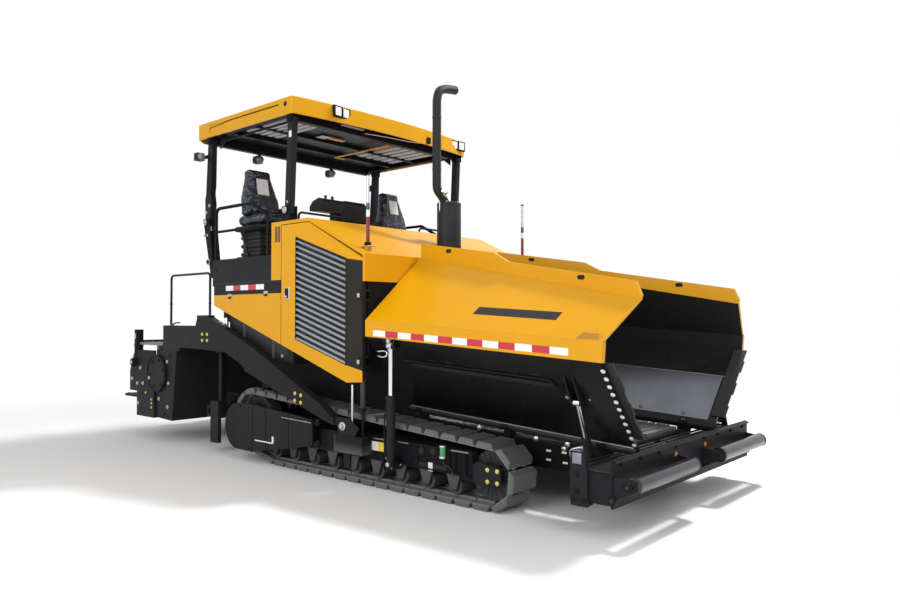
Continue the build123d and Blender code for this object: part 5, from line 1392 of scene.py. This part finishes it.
    def hoses(self) -> None:
        """Adds the wrapped hoses over each drive cover, clamped at both ends."""
        parts = []
        for shift, lift in ((0.0, 0.0), (0.05, -0.02)):
            line = [(-1.075, 0.56), (-1.02, 0.655), (-0.84, 0.714), (-0.54, 0.693), (-0.275, 0.655), (-0.2, 0.6)]
            route = [(x, -1.1 + shift, z + lift) for x, z in line]
            parts.append(dress(tube(route, 0.021), Paint.HOSE))
        for x, z in ((-1.07, 0.58), (-0.23, 0.63), (-0.66, 0.7)):
            parts.append(dress(block((x - 0.02, -1.128, z - 0.035), (x + 0.02, -1.02, z + 0.03), 0.008), Paint.BLACK))
        parts.append(dress(block((-0.24, -1.12, 0.56), (-0.2, -1.03, 0.64), 0.006), Paint.BLACK))
        fit_pair("drive_hoses", parts, "tractor")

    def cylinders(self) -> None:
        """Adds glands, pipes and pins to the rear wing cylinders."""
        foot = Vector((1.265, -1.21, 0.24))
        eye = Vector((1.31, -1.256, 1.21))
        along = (eye - foot).normalized()
        top = foot + along * 0.561
        parts = [dress(rod(tuple(top - along * 0.05), tuple(top + along * 0.003), 0.041, 32, 0.004), Paint.BLACK)]
        parts.append(dress(rod(tuple(top - along * 0.115), tuple(top - along * 0.1), 0.0405, 32, 0.003), Paint.BLACK))
        pipe = [
            foot + along * 0.05 + Vector((0, -0.04, 0)), foot + along * 0.1 + Vector((-0.03, -0.045, 0)),
            foot + along * 0.46 + Vector((-0.03, -0.045, 0)), top + Vector((0, -0.038, -0.03))
        ]
        parts.append(dress(tube([tuple(point) for point in pipe], 0.006), Paint.BLACK))
        parts.append(
            dress(
                rod(tuple(foot + Vector((0, -0.045, 0))), tuple(foot + Vector((0, -0.03, 0))), 0.02, 20, 0.004),
                Paint.ZINC
            )
        )
        fit_pair("rear_cylinder_fittings", parts, "wing_barrel_rear_{}")
        stage = [dress(rod(tuple(top + along * 0.364), tuple(top + along * 0.392), 0.027, 28, 0.004), Paint.ZINC)]
        fit_pair("rear_cylinder_stage", stage, "wing_rod_rear_{}")

    def exhaust(self) -> None:
        """Adds the muffler's bands, bolts, clamp and the pipe's collars."""
        x, y = 0.7, 0.155
        parts = [dress(rod((x, y, 2.04), (x, y, 2.594), 0.122, 64, 0.012), Paint.EXHAUST)]
        for z in (2.15, 2.56):
            parts.append(dress(rod((x, y, z), (x, y, z + 0.016), 0.1235, 64, 0.003), Paint.EXHAUST))
        line = at_x(
            x, (0.1, 2.58), (0.06, 2.64), (-0.03, 2.7), (-0.03, 2.82), (-0.03, 3.3), (-0.03, 3.5), (-0.03, 3.62)
        )
        line += at_x(x, (0.0, 3.7), (0.06, 3.733), (0.14, 3.753), (0.25, 3.767))
        parts.append(dress(tube(line, 0.044, 3, 12), Paint.EXHAUST))
        parts.append(dress(ring((x, 0.25, 3.767), (0, 1, 0.2), 0.04, 0.0045), Paint.EXHAUST))
        # painted shade: near-black disc inside the pipe's open end
        parts.append(dress(rod((x, 0.235, 3.764), (x, 0.2535, 3.768), 0.038, 32, 0.001), Paint.VOID))
        for z in (2.9, 3.42):
            parts.append(dress(rod((x, -0.03, z), (x, -0.03, z + 0.016), 0.0465, 32, 0.004), Paint.EXHAUST))
        parts += batch(
            ring,
            (Paint.ZINC, (x, 0.02, 2.672), (0, 0.6, 0.8), 0.047, 0.007),
            (Paint.ZINC, (x, 0.045, 2.645), (0, 0.6, 0.8), 0.047, 0.007),
        )
        parts.append(dress(rod((x + 0.055, 0.03, 2.66), (x + 0.095, 0.03, 2.675), 0.009, 6, 0.002), Paint.ZINC))
        for angle in (0.4, 1.6, 2.8, 4.0, 5.2):
            spot = (x + 0.095 * cos(angle), y + 0.095 * sin(angle), 2.594)
            parts += Bolt(0.009).heads([spot], (0, 0, 1))
        parts.append(dress(rod((x - 0.02, y - 0.118, 2.5), (x - 0.02, y - 0.118, 2.6), 0.008, 12, 0.002), Paint.ZINC))
        piece = unite("exhaust_fittings", parts)
        fit(piece, "tractor", ("exhaust",))


# --- operator's platform ----------------------------------------------------------------------


@dataclass
class Platform:
    """Wrapped seats, their bellows and arms, the console's controls, poles and steps."""

    seat_rear: float = -1.11
    seat_front: float = -0.6
    seat_outer: float = -1.19
    coarse_voxel: float = 0.03
    fine_voxel: float = 0.011
    pad_pressure: float = 4.0
    pad_frames: int = 20
    pad_reach: float = 0.024  # furthest that the simulation may move a point
    seat_inner: float = -0.72
    pan_low: float = 2.371
    pan_high: float = 2.49

    def build(self) -> None:
        """Builds the seats, the console, the poles and the rails' fittings."""
        self.cushions()
        self.seat_details()
        self.console()
        self.poles()
        self.steps()

    def pad(self, name: str, corners: list[Point], depth: Point) -> bpy.types.Object:
        """Inflates one soft pad from its outline.

        Args:
            name: the pad's name.
            corners: its outline.
            depth: direction and thickness of the pad.

        Returns:
            The pad, crowned and creased by a short cloth simulation.
        """
        shape = plate(corners, depth, 0.02)
        edit(shape)
        bpy.ops.mesh.subdivide(number_cuts=2)
        leave()
        remesh = shape.modifiers.new("even", "REMESH")
        remesh.mode = "VOXEL"
        remesh.voxel_size = self.fine_voxel
        bpy.ops.object.modifier_apply(modifier="even")
        self.inflate(shape)
        rounder = shape.modifiers.new("rounder", "SUBSURF")
        rounder.levels = 1
        rounder.render_levels = 1
        bpy.ops.object.modifier_apply(modifier="rounder")
        shape.name = name
        return dress(shape, Paint.WRAPPED)

    def inflate(self, shape: bpy.types.Object) -> None:
        """Runs the cloth simulation on a pad and keeps its result within the pad's room."""
        rest = [vertex.co.copy() for vertex in shape.data.vertices]
        soft = shape.modifiers.new("soft", "CLOTH")
        soft.settings.quality = 5
        soft.settings.use_pressure = True
        soft.settings.uniform_pressure_force = self.pad_pressure
        soft.settings.effector_weights.gravity = 0.0
        soft.point_cache.frame_start = 1
        soft.point_cache.frame_end = self.pad_frames
        scene = bpy.context.scene
        for step in range(1, self.pad_frames + 1):
            scene.frame_set(step)
        bpy.ops.object.modifier_apply(modifier="soft")
        scene.frame_set(1)
        for vertex, start in zip(shape.data.vertices, rest):
            move = vertex.co - start
            if move.length > self.pad_reach:
                vertex.co = start + move.normalized() * self.pad_reach

    def cushions(self) -> None:
        """Makes the wrapped pads of both seats."""
        low, high = self.seat_outer + 0.018, self.seat_inner - 0.018
        pan = [(self.seat_rear + 0.03, low, self.pan_low + 0.02), (self.seat_front - 0.015, low, self.pan_low + 0.02)]
        pan += [
            (self.seat_front - 0.015, high, self.pan_low + 0.02), (self.seat_rear + 0.03, high, self.pan_low + 0.02)
        ]
        seat = self.pad("seat_pad", pan, (0, 0, 0.082))
        middle, foot, top = (low + high) / 2, self.seat_rear + 0.125, self.seat_rear + 0.035
        back = []
        # columns: half width, height above the pan
        for half, rise in ((0.235, -0.03), (0.236, 0.16), (0.135, 0.5)):
            x = foot + (top - foot) * rise / 0.5
            back.append((x, middle - half, self.pan_high + rise))
            back.insert(0, (x, middle + half, self.pan_high + rise))
        rest = self.pad("seat_back", back, (0.095, 0, 0.014))
        for piece, label in ((seat, "seat_pad"), (rest, "seat_back")):
            twin = piece.copy()
            twin.data = piece.data.copy()
            bpy.context.scene.collection.objects.link(twin)
            twin.scale = (1.0, -1.0, 1.0)
            left = unite(f"{label}_left", [twin], 80.0)
            edit(left)
            bpy.ops.mesh.normals_make_consistent(inside=False)
            leave()
            right = unite(f"{label}_right", [piece], 80.0)
            for half in (right, left):
                fit(half, "tractor", ("seat_cushions",))

    def seat_details(self) -> None:
        """Adds blank labels, arm rests, bellows and slides to the seats."""
        middle = (self.seat_outer + self.seat_inner) / 2
        label_x = self.seat_rear + 0.213
        tag = [
            (label_x - lean, middle + y, z) for lean, y,
            z in ((0, -0.07, 2.71), (0, 0.07, 2.71), (0.034, 0.07, 2.88), (0.034, -0.07, 2.88))
        ]
        parts = [dress(plate(tag, (0.0015, 0, 0), 0.0005), Paint.LABEL)]
        parts.append(dress(block((-1.1, middle - 0.2, 1.8), (-0.66, middle + 0.2, 2.06), 0.02, 3), Paint.PLASTIC))
        for index in range(6):
            size = 0.172 - 0.014 * (index % 2)
            z = 2.06 + index * 0.043
            fold = block((-0.885 - size, middle - size, z), (-0.885 + size, middle + size, z + 0.045), 0.018, 2)
            parts.append(dress(fold, Paint.RUBBER))
        parts += batch(
            block,
            (Paint.PLASTIC, (-1.1, middle - 0.215, 2.318), (-0.65, middle + 0.215, 2.372), 0.016, 3),
            (Paint.PLASTIC, (-0.98, self.seat_inner - 0.004, 2.5), (-0.84, self.seat_inner + 0.05, 2.6), 0.018, 3),
        )
        parts += batch(
            tube,
            (
                Paint.PLASTIC, [(-0.64, middle - 0.12, 2.34), (-0.61, middle, 2.335), (-0.64, middle + 0.12, 2.34)],
                0.007
            ),
            (
                Paint.RUBBER,
                [
                    (-1.09, middle - 0.19, 2.36), (-0.98, middle - 0.21, 2.35), (-0.9, middle - 0.2, 2.12),
                    (-0.88, middle - 0.17, 1.95)
                ],
                0.014
            ),
        )
        fit_pair("seat_fittings", parts, "tractor", "seat_frames")

    def console(self) -> None:
        """Adds levers, keys, a screen and handles to the control console."""
        parts = []
        top = 2.672
        for row in range(3):
            for column in range(9):
                x, y = -0.6 + row * 0.035, -0.5 + column * 0.055
                parts.append(
                    dress(
                        block(
                            (x, y, top - 0.02 + row * 0.002), (x + 0.02, y + 0.024, top + 0.006 + row * 0.002), 0.004,
                            1
                        ),
                        Paint.SWITCH
                    )
                )
        parts += batch(
            block,
            (Paint.PLASTIC, (-0.56, -0.16, top - 0.02), (-0.44, 0.02, top + 0.016), 0.012, 3),
            (Paint.SCREEN, (-0.55, -0.15, top + 0.012), (-0.46, 0.0, top + 0.0175), 0.002, 1),
        )
        for x, y in ((-0.5, -0.36), (-0.49, -0.46)):
            parts.append(
                dress(
                    tube(at_y(y, (x, top - 0.02), (x - 0.004, top + 0.015), (x - 0.008, top + 0.03)), 0.007),
                    Paint.ZINC
                )
            )
            parts += batch(
                rod,
                (Paint.RUBBER, (x - 0.008, y, top + 0.02), (x - 0.01, y, top + 0.055), 0.015, 20, 0.007),
                (Paint.RUBBER, (x, y, top - 0.015), (x, y, top + 0.012), 0.028, 24, 0.006, 0.012),
            )
        parts += batch(
            block,
            (Paint.PLASTIC, (-0.635, -0.3, 2.46), (-0.425, 0.075, top - 0.02), 0.02, 3),
            (Paint.PLASTIC, (-0.62, -0.24, top - 0.03), (-0.44, 0.06, top + 0.02), 0.018, 3),
        )
        parts.append(
            dress(
                tube(
                    [
                        (-0.47, 0.1, top - 0.11), (-0.47, 0.12, top - 0.02), (-0.53, 0.12, top + 0.0),
                        (-0.58, 0.1, top - 0.1)
                    ],
                    0.01
                ),
                Paint.BLACK
            )
        )
        parts.append(dress(block((-0.59, -0.34, 1.95), (-0.476, -0.332, 2.35), 0.004), Paint.PLASTIC))
        for z in (2.02, 2.28):
            parts += Bolt(0.008).heads([(-0.57, -0.34, z), (-0.5, -0.34, z)])
        piece = unite("console_controls", parts)
        fit(piece, "tractor")

    def poles(self) -> None:
        """Wraps the position poles in bands and adds their feet."""
        x, y = 0.905, -1.14
        parts = [dress(rod((x, y, 2.08), (x, y, 2.36), 0.0155, 24, 0.001), Paint.POLE_BANDS)]
        parts += batch(
            rod,
            (Paint.BLUE_TAPE, (x, y, 2.36), (x, y, 2.42), 0.0157, 24, 0.001),
            (Paint.BLACK, (x, y, 2.046), (x, y, 2.082), 0.03, 24, 0.006),
        )
        parts.append(dress(block((x - 0.06, y - 0.03, 2.04), (x + 0.06, y + 0.03, 2.05), 0.003), Paint.ZINC))
        parts.append(dress(rod((x, y, 2.655), (x, y, 2.672), 0.016, 20, 0.005), Paint.BLACK))
        fit_pair("pole_bands", parts, "tractor")

    def steps(self) -> None:
        """Adds grip studs on the deck and platform."""
        stud = dress(block((-0.016, -0.005, 0.0), (0.016, 0.005, 0.003), 0.001, 1), Paint.TREAD)
        places = []
        for row in range(14):
            for column in range(13):
                turn = Matrix.Rotation(radians(45 if (row + column) % 2 else -45), 4, "Z")
                places.append(Matrix.Translation((-1.33 + row * 0.075, -1.17 + column * 0.09, 1.7905)) @ turn)
        parts = copies(stud, places)
        fit_pair("deck_grip", parts, "tractor")


# --- canopy -----------------------------------------------------------------------------------


@dataclass
class Canopy:
    """Lamp lenses, ceiling panels, hatch, gussets and the posts' fittings."""

    ceiling: float = 3.395
    post_y: float = -1.19
    rear_lamp_z: float = 3.25
    side_lamp: Span = (-1.276, 3.16)  # y, z

    def build(self) -> None:
        """Dresses the roof and its posts."""
        self.lamps()
        self.underside()
        self.posts()

    def lamps(self) -> None:
        """Adds bezels and lenses to the front lamps and round heads to the work lamps."""
        parts = []
        # columns: middle y, x of the front face, turn that follows the roof's front
        for middle, front, turn in ((-0.716, 0.0612, 5.1), (1.09, 0.0185, -7.8)):
            head = [dress(block((-0.012, -0.113, -0.058), (0.004, 0.113, 0.058), 0.004), Paint.BLACK)]
            for y in (-0.0535, 0.0535):
                head.append(dress(block((0.001, y - 0.047, -0.05), (0.008, y + 0.047, 0.05), 0.006, 3), Paint.BLACK))
                head.append(
                    dress(block((0.002, y - 0.039, -0.042), (0.0105, y + 0.039, 0.042), 0.007, 3), Paint.LENS)
                )
            place = Matrix.Translation((front, middle, 3.449)) @ Matrix.Rotation(radians(turn), 4, "Z")
            parts += copies(unite("lamp_head", head), [place])
        for y in (-0.532, 0.532):
            parts += batch(
                rod,
                (Paint.CAP_GREY, (-1.592, y, self.rear_lamp_z), (-1.55, y, self.rear_lamp_z), 0.05, 32, 0.006, 0.026),
                (Paint.LENS, (-1.676, y, self.rear_lamp_z), (-1.668, y, self.rear_lamp_z), 0.037, 32, 0.002),
            )
            parts.append(dress(ring((-1.672, y, self.rear_lamp_z), (1, 0, 0), 0.04, 0.005), Paint.PLASTIC))
        fit(unite("roof_lamp_lenses", parts), "canopy_roof")
        lamp_y, lamp_z = self.side_lamp
        parts = [
            dress(rod((-1.582, lamp_y, lamp_z), (-1.545, lamp_y, lamp_z), 0.044, 32, 0.006, 0.024), Paint.CAP_GREY)
        ]
        parts.append(dress(rod((-1.664, lamp_y, lamp_z), (-1.6575, lamp_y, lamp_z), 0.035, 32, 0.002), Paint.LENS))
        parts.append(dress(ring((-1.66, lamp_y, lamp_z), (1, 0, 0), 0.036, 0.004), Paint.PLASTIC))
        fit_pair("post_lamp_lenses", parts, "canopy_rear_posts")

    def ribbed(self, x_span: Span, y_span: Span) -> list[bpy.types.Object]:
        """Makes one ribbed ceiling panel."""
        z = self.ceiling
        parts = [dress(block((x_span[0], y_span[0], z), (x_span[1], y_span[1], z + 0.004), 0.001, 1), Paint.CEILING)]
        step = (y_span[1] - y_span[0]) / 5
        for index in range(5):
            y = y_span[0] + (index + 0.5) * step
            parts.append(
                dress(
                    block(
                        (x_span[0] + 0.01, y - step * 0.3, z - 0.018), (x_span[1] - 0.01, y + step * 0.3, z + 0.001),
                        0.008, 2
                    ),
                    Paint.CEILING
                )
            )
        return parts

    def underside(self) -> None:
        """Adds ceiling panels, the hatch's frame, the air grille, gussets and a receiver."""
        parts = [
            dress(
                block((-1.6, -1.13, self.ceiling + 0.012), (-0.1, 1.13, self.ceiling + 0.018), 0.002, 1),
                Paint.PLASTIC
            )
        ]
        for y_span in ((-1.1, -0.66), (0.44, 1.08)):
            parts += self.ribbed((-1.05, -0.28), y_span)
        for low, high in (((-1.24, 0.27, 3.352), (-0.3, 0.3, 3.364)), ((-1.24, 0.3, 3.352), (-1.21, 0.42, 3.364))):
            parts.append(dress(block(low, high, 0.003), Paint.ROOF))
        parts += batch(
            block,
            (Paint.ROOF, (-0.66, -0.3, 3.38), (-0.6, -0.1, 3.39), 0.003),
            (Paint.CEILING, (-0.72, -0.42, 3.385), (-0.6, -0.3, 3.392), 0.003),
        )
        for index in range(8):
            y = -0.64 + index * 0.036
            parts.append(dress(block((-0.044, y, 3.352), (0.004, y + 0.022, 3.362), 0.003, 1), Paint.CEILING))
        for side in (1, -1):
            for x, way in ((-1.44, 1), (-0.13, -1)):
                y = side * 1.126
                corners = at_y(y, (x, 3.35), (x + way * 0.15, 3.35), (x, 3.24))
                parts.append(dress(plate(corners, (0, side * 0.008, 0), 0.002), Paint.BLACK))
            parts.append(dress(tube([(-1.5, side * 1.1, 3.34), (-0.15, side * 1.1, 3.34)], 0.012, 2), Paint.BLACK))
            for x in (-1.3, -1.0, -0.7, -0.4):
                parts += Bolt(0.008).heads([(x, side * 1.235, 3.3645)], (0, 0, -1))
            # painted shade: near-black disc for a hole in the roof's side
            parts.append(
                dress(
                    rod((-0.115, side * 1.256, 3.452), (-0.115, side * 1.2625, 3.452), 0.026, 24, 0.002), Paint.VOID
                )
            )
            # painted shade: near-black line along the roof's side groove
            groove = at_y(side * 1.2595, (-1.44, 3.395), (-1.44, 3.467), (-0.225, 3.461))
            parts.append(dress(tube(groove, 0.004, 1, 2), Paint.VOID))
        # receiver on the roof's front edge, with its clipped lead
        parts.append(dress(rod((0.075, 0.52, 3.36), (0.075, 0.52, 3.43), 0.03, 28, 0.01), Paint.PLASTIC))
        parts.append(
            dress(
                tube([(0.06, 0.5, 3.362), (0.02, 0.3, 3.346), (-0.02, -0.1, 3.348), (-0.1, -0.3, 3.35)], 0.004),
                Paint.LABEL
            )
        )
        fit(unite("roof_underside", parts), "canopy_roof")

    def posts(self) -> None:
        """Adds base brackets' bolts, a key and blank tags to the posts."""
        parts = Bolt(0.02).heads([(-0.135, self.post_y - 0.056, 2.45), (-1.54, self.post_y - 0.056, 2.45)])
        parts += Bolt(0.009).heads([(x, self.post_y - 0.052, 2.31) for x in (-1.56, -1.5)])
        fit_pair("canopy_pin_heads", parts, "tractor")
        y = self.post_y - 0.0305
        parts = [dress(block((-1.57, y - 0.002, 2.66), (-1.53, y + 0.001, 2.74), 0.001, 1), Paint.BLACK)]
        parts.append(
            dress(rod((-1.555, y - 0.012, 2.84), (-1.555, y + 0.001, 2.84), 0.01, 20, 0.003), Paint.YELLOW_ZINC)
        )
        parts += Bolt(0.011).heads([(-1.5, y, 2.63), (-1.56, y, 2.56)])
        fit_pair("rear_post_fittings", parts, "canopy_rear_posts")
        parts = [dress(block((-0.11, y - 0.0015, 3.14), (-0.07, y + 0.001, 3.2), 0.0005, 1), Paint.LABEL)]
        parts += Bolt(0.008).heads([(-0.13, y, 2.53)])
        fit_pair("front_post_fittings", parts, "canopy_front_posts")


# --- studio ---------------------------------------------------------------------------------


@dataclass
class Studio:
    """Pale floor, soft lamps, plain world and the camera."""

    camera_place: Point = (5.56, -5.401, 1.434)
    camera_turn: float = 41.1  # degrees from +Y, to the left
    camera_tilt: float = 1.37  # degrees above level
    lens: float = 29.23
    floor_half: float = 200.0
    floor_tone: Colour = (1.0, 1.0, 1.0)
    white_from: float = 4.5
    white_to: float = 8.5
    key_place: Point = (3.0, 4.8, 11.0)
    key_size: float = 1.6
    key_power: float = 1250.0
    fill_place: Point = (1.0, -10.0, 4.2)
    fill_size: float = 7.0
    fill_power: float = 430.0
    rim_place: Point = (9.0, -4.0, 6.5)
    rim_size: float = 6.0
    rim_share: float = 0.5  # of the fill's power
    lamp_aim: Point = (0.0, 0.0, 1.2)
    world_strength: float = 0.44

    def build(self) -> None:
        """Makes the floor, the world, the lamps and the camera."""
        self.floor()
        self.world()
        self.lamp("key", self.key_place, self.key_size, self.key_power)
        self.lamp("fill", self.fill_place, self.fill_size, self.fill_power)
        self.lamp("rim", self.rim_place, self.rim_size, self.fill_power * self.rim_share)
        self.camera()

    def floor(self) -> None:
        """Adds the floor: pale under the machine, with the surround's white further out."""
        bpy.ops.mesh.primitive_plane_add(size=2 * self.floor_half, location=(0, 0, 0))
        plane = bpy.context.active_object
        plane.name = "studio_floor"
        material, tree, shader = new_material("pale_floor")
        feed(tree, shader, {"Base Color": self.floor_tone, "Roughness": 0.8, "Specular IOR Level": 0.1})
        # white where it is seen, more so away from the machine
        far = node(tree, "VectorMath", {0: place_in(tree)}, operation="LENGTH").outputs["Value"]
        feeds = {"From Min": self.white_from, "From Max": self.white_to, "Value": far}
        share = node(tree, "MapRange", feeds, interpolation_type="SMOOTHSTEP").outputs["Result"]
        white = node(tree, "Emission", {"Color": (1.0, 1.0, 1.0)})
        feeds = {
            0: maths(tree, "MULTIPLY", share, self.seen_directly(tree)), 1: shader.outputs[0], 2: white.outputs[0]
        }
        blend = node(tree, "MixShader", feeds)
        feed(tree, tree.nodes["Material Output"], {"Surface": blend.outputs[0]})
        plane.data.materials.append(material)

    @staticmethod
    def seen_directly(tree: bpy.types.NodeTree) -> bpy.types.NodeSocket:
        """Gives a value that is 1 for the camera, glossy and transmission rays."""
        path = node(tree, "LightPath").outputs
        seen = maths(tree, "MAXIMUM", path["Is Camera Ray"], path["Is Glossy Ray"])
        return maths(tree, "MAXIMUM", seen, path["Is Transmission Ray"])

    def world(self) -> None:
        """Sets a plain surround that the camera and glossy surfaces see as white."""
        world = bpy.data.worlds.new("studio_world")
        bpy.context.scene.world = world
        world.use_nodes = True
        tree = world.node_tree
        feeds = {"To Min": self.world_strength, "To Max": 1.0, "Value": self.seen_directly(tree)}
        strength = node(tree, "MapRange", feeds).outputs["Result"]
        feed(tree, tree.nodes["Background"], {"Color": (1.0, 1.0, 1.0), "Strength": strength})

    def lamp(self, name: str, place: Point, size: float, power: float) -> None:
        """Adds a square soft lamp that looks at the machine's middle."""
        data = bpy.data.lights.new(name, "AREA")
        data.size = size
        data.energy = power
        lamp = bpy.data.objects.new(name, data)
        bpy.context.scene.collection.objects.link(lamp)
        lamp.location = place
        lamp.rotation_euler = (Vector(self.lamp_aim) - Vector(place)).to_track_quat("-Z", "Y").to_euler()

    def camera(self) -> None:
        """Adds the camera at the machine's front right corner."""
        data = bpy.data.cameras.new("camera")
        data.lens = self.lens
        data.sensor_width = 36.0
        data.clip_end = 400.0
        camera = bpy.data.objects.new("camera", data)
        bpy.context.scene.collection.objects.link(camera)
        camera.location = self.camera_place
        camera.rotation_euler = (radians(90.0 + self.camera_tilt), 0.0, radians(self.camera_turn))
        bpy.context.scene.camera = camera


def main() -> None:
    """Builds every sub-assembly in order and reports its pieces."""
    bpy.ops.object.select_all(action="DESELECT")
    bpy.context.scene.view_settings.view_transform = "Standard"
    Studio().build()
    for name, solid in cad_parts.items():
        dress(solid, finish_of(name))
    log.info("finished %d frame nodes", len(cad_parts))
    for assembly in (Tracks(), Undercarriage(), ScreedDressing(), Hopper(), Sides(), Platform(), Canopy()):
        assembly.build()


if __name__ == "__main__":
    main()
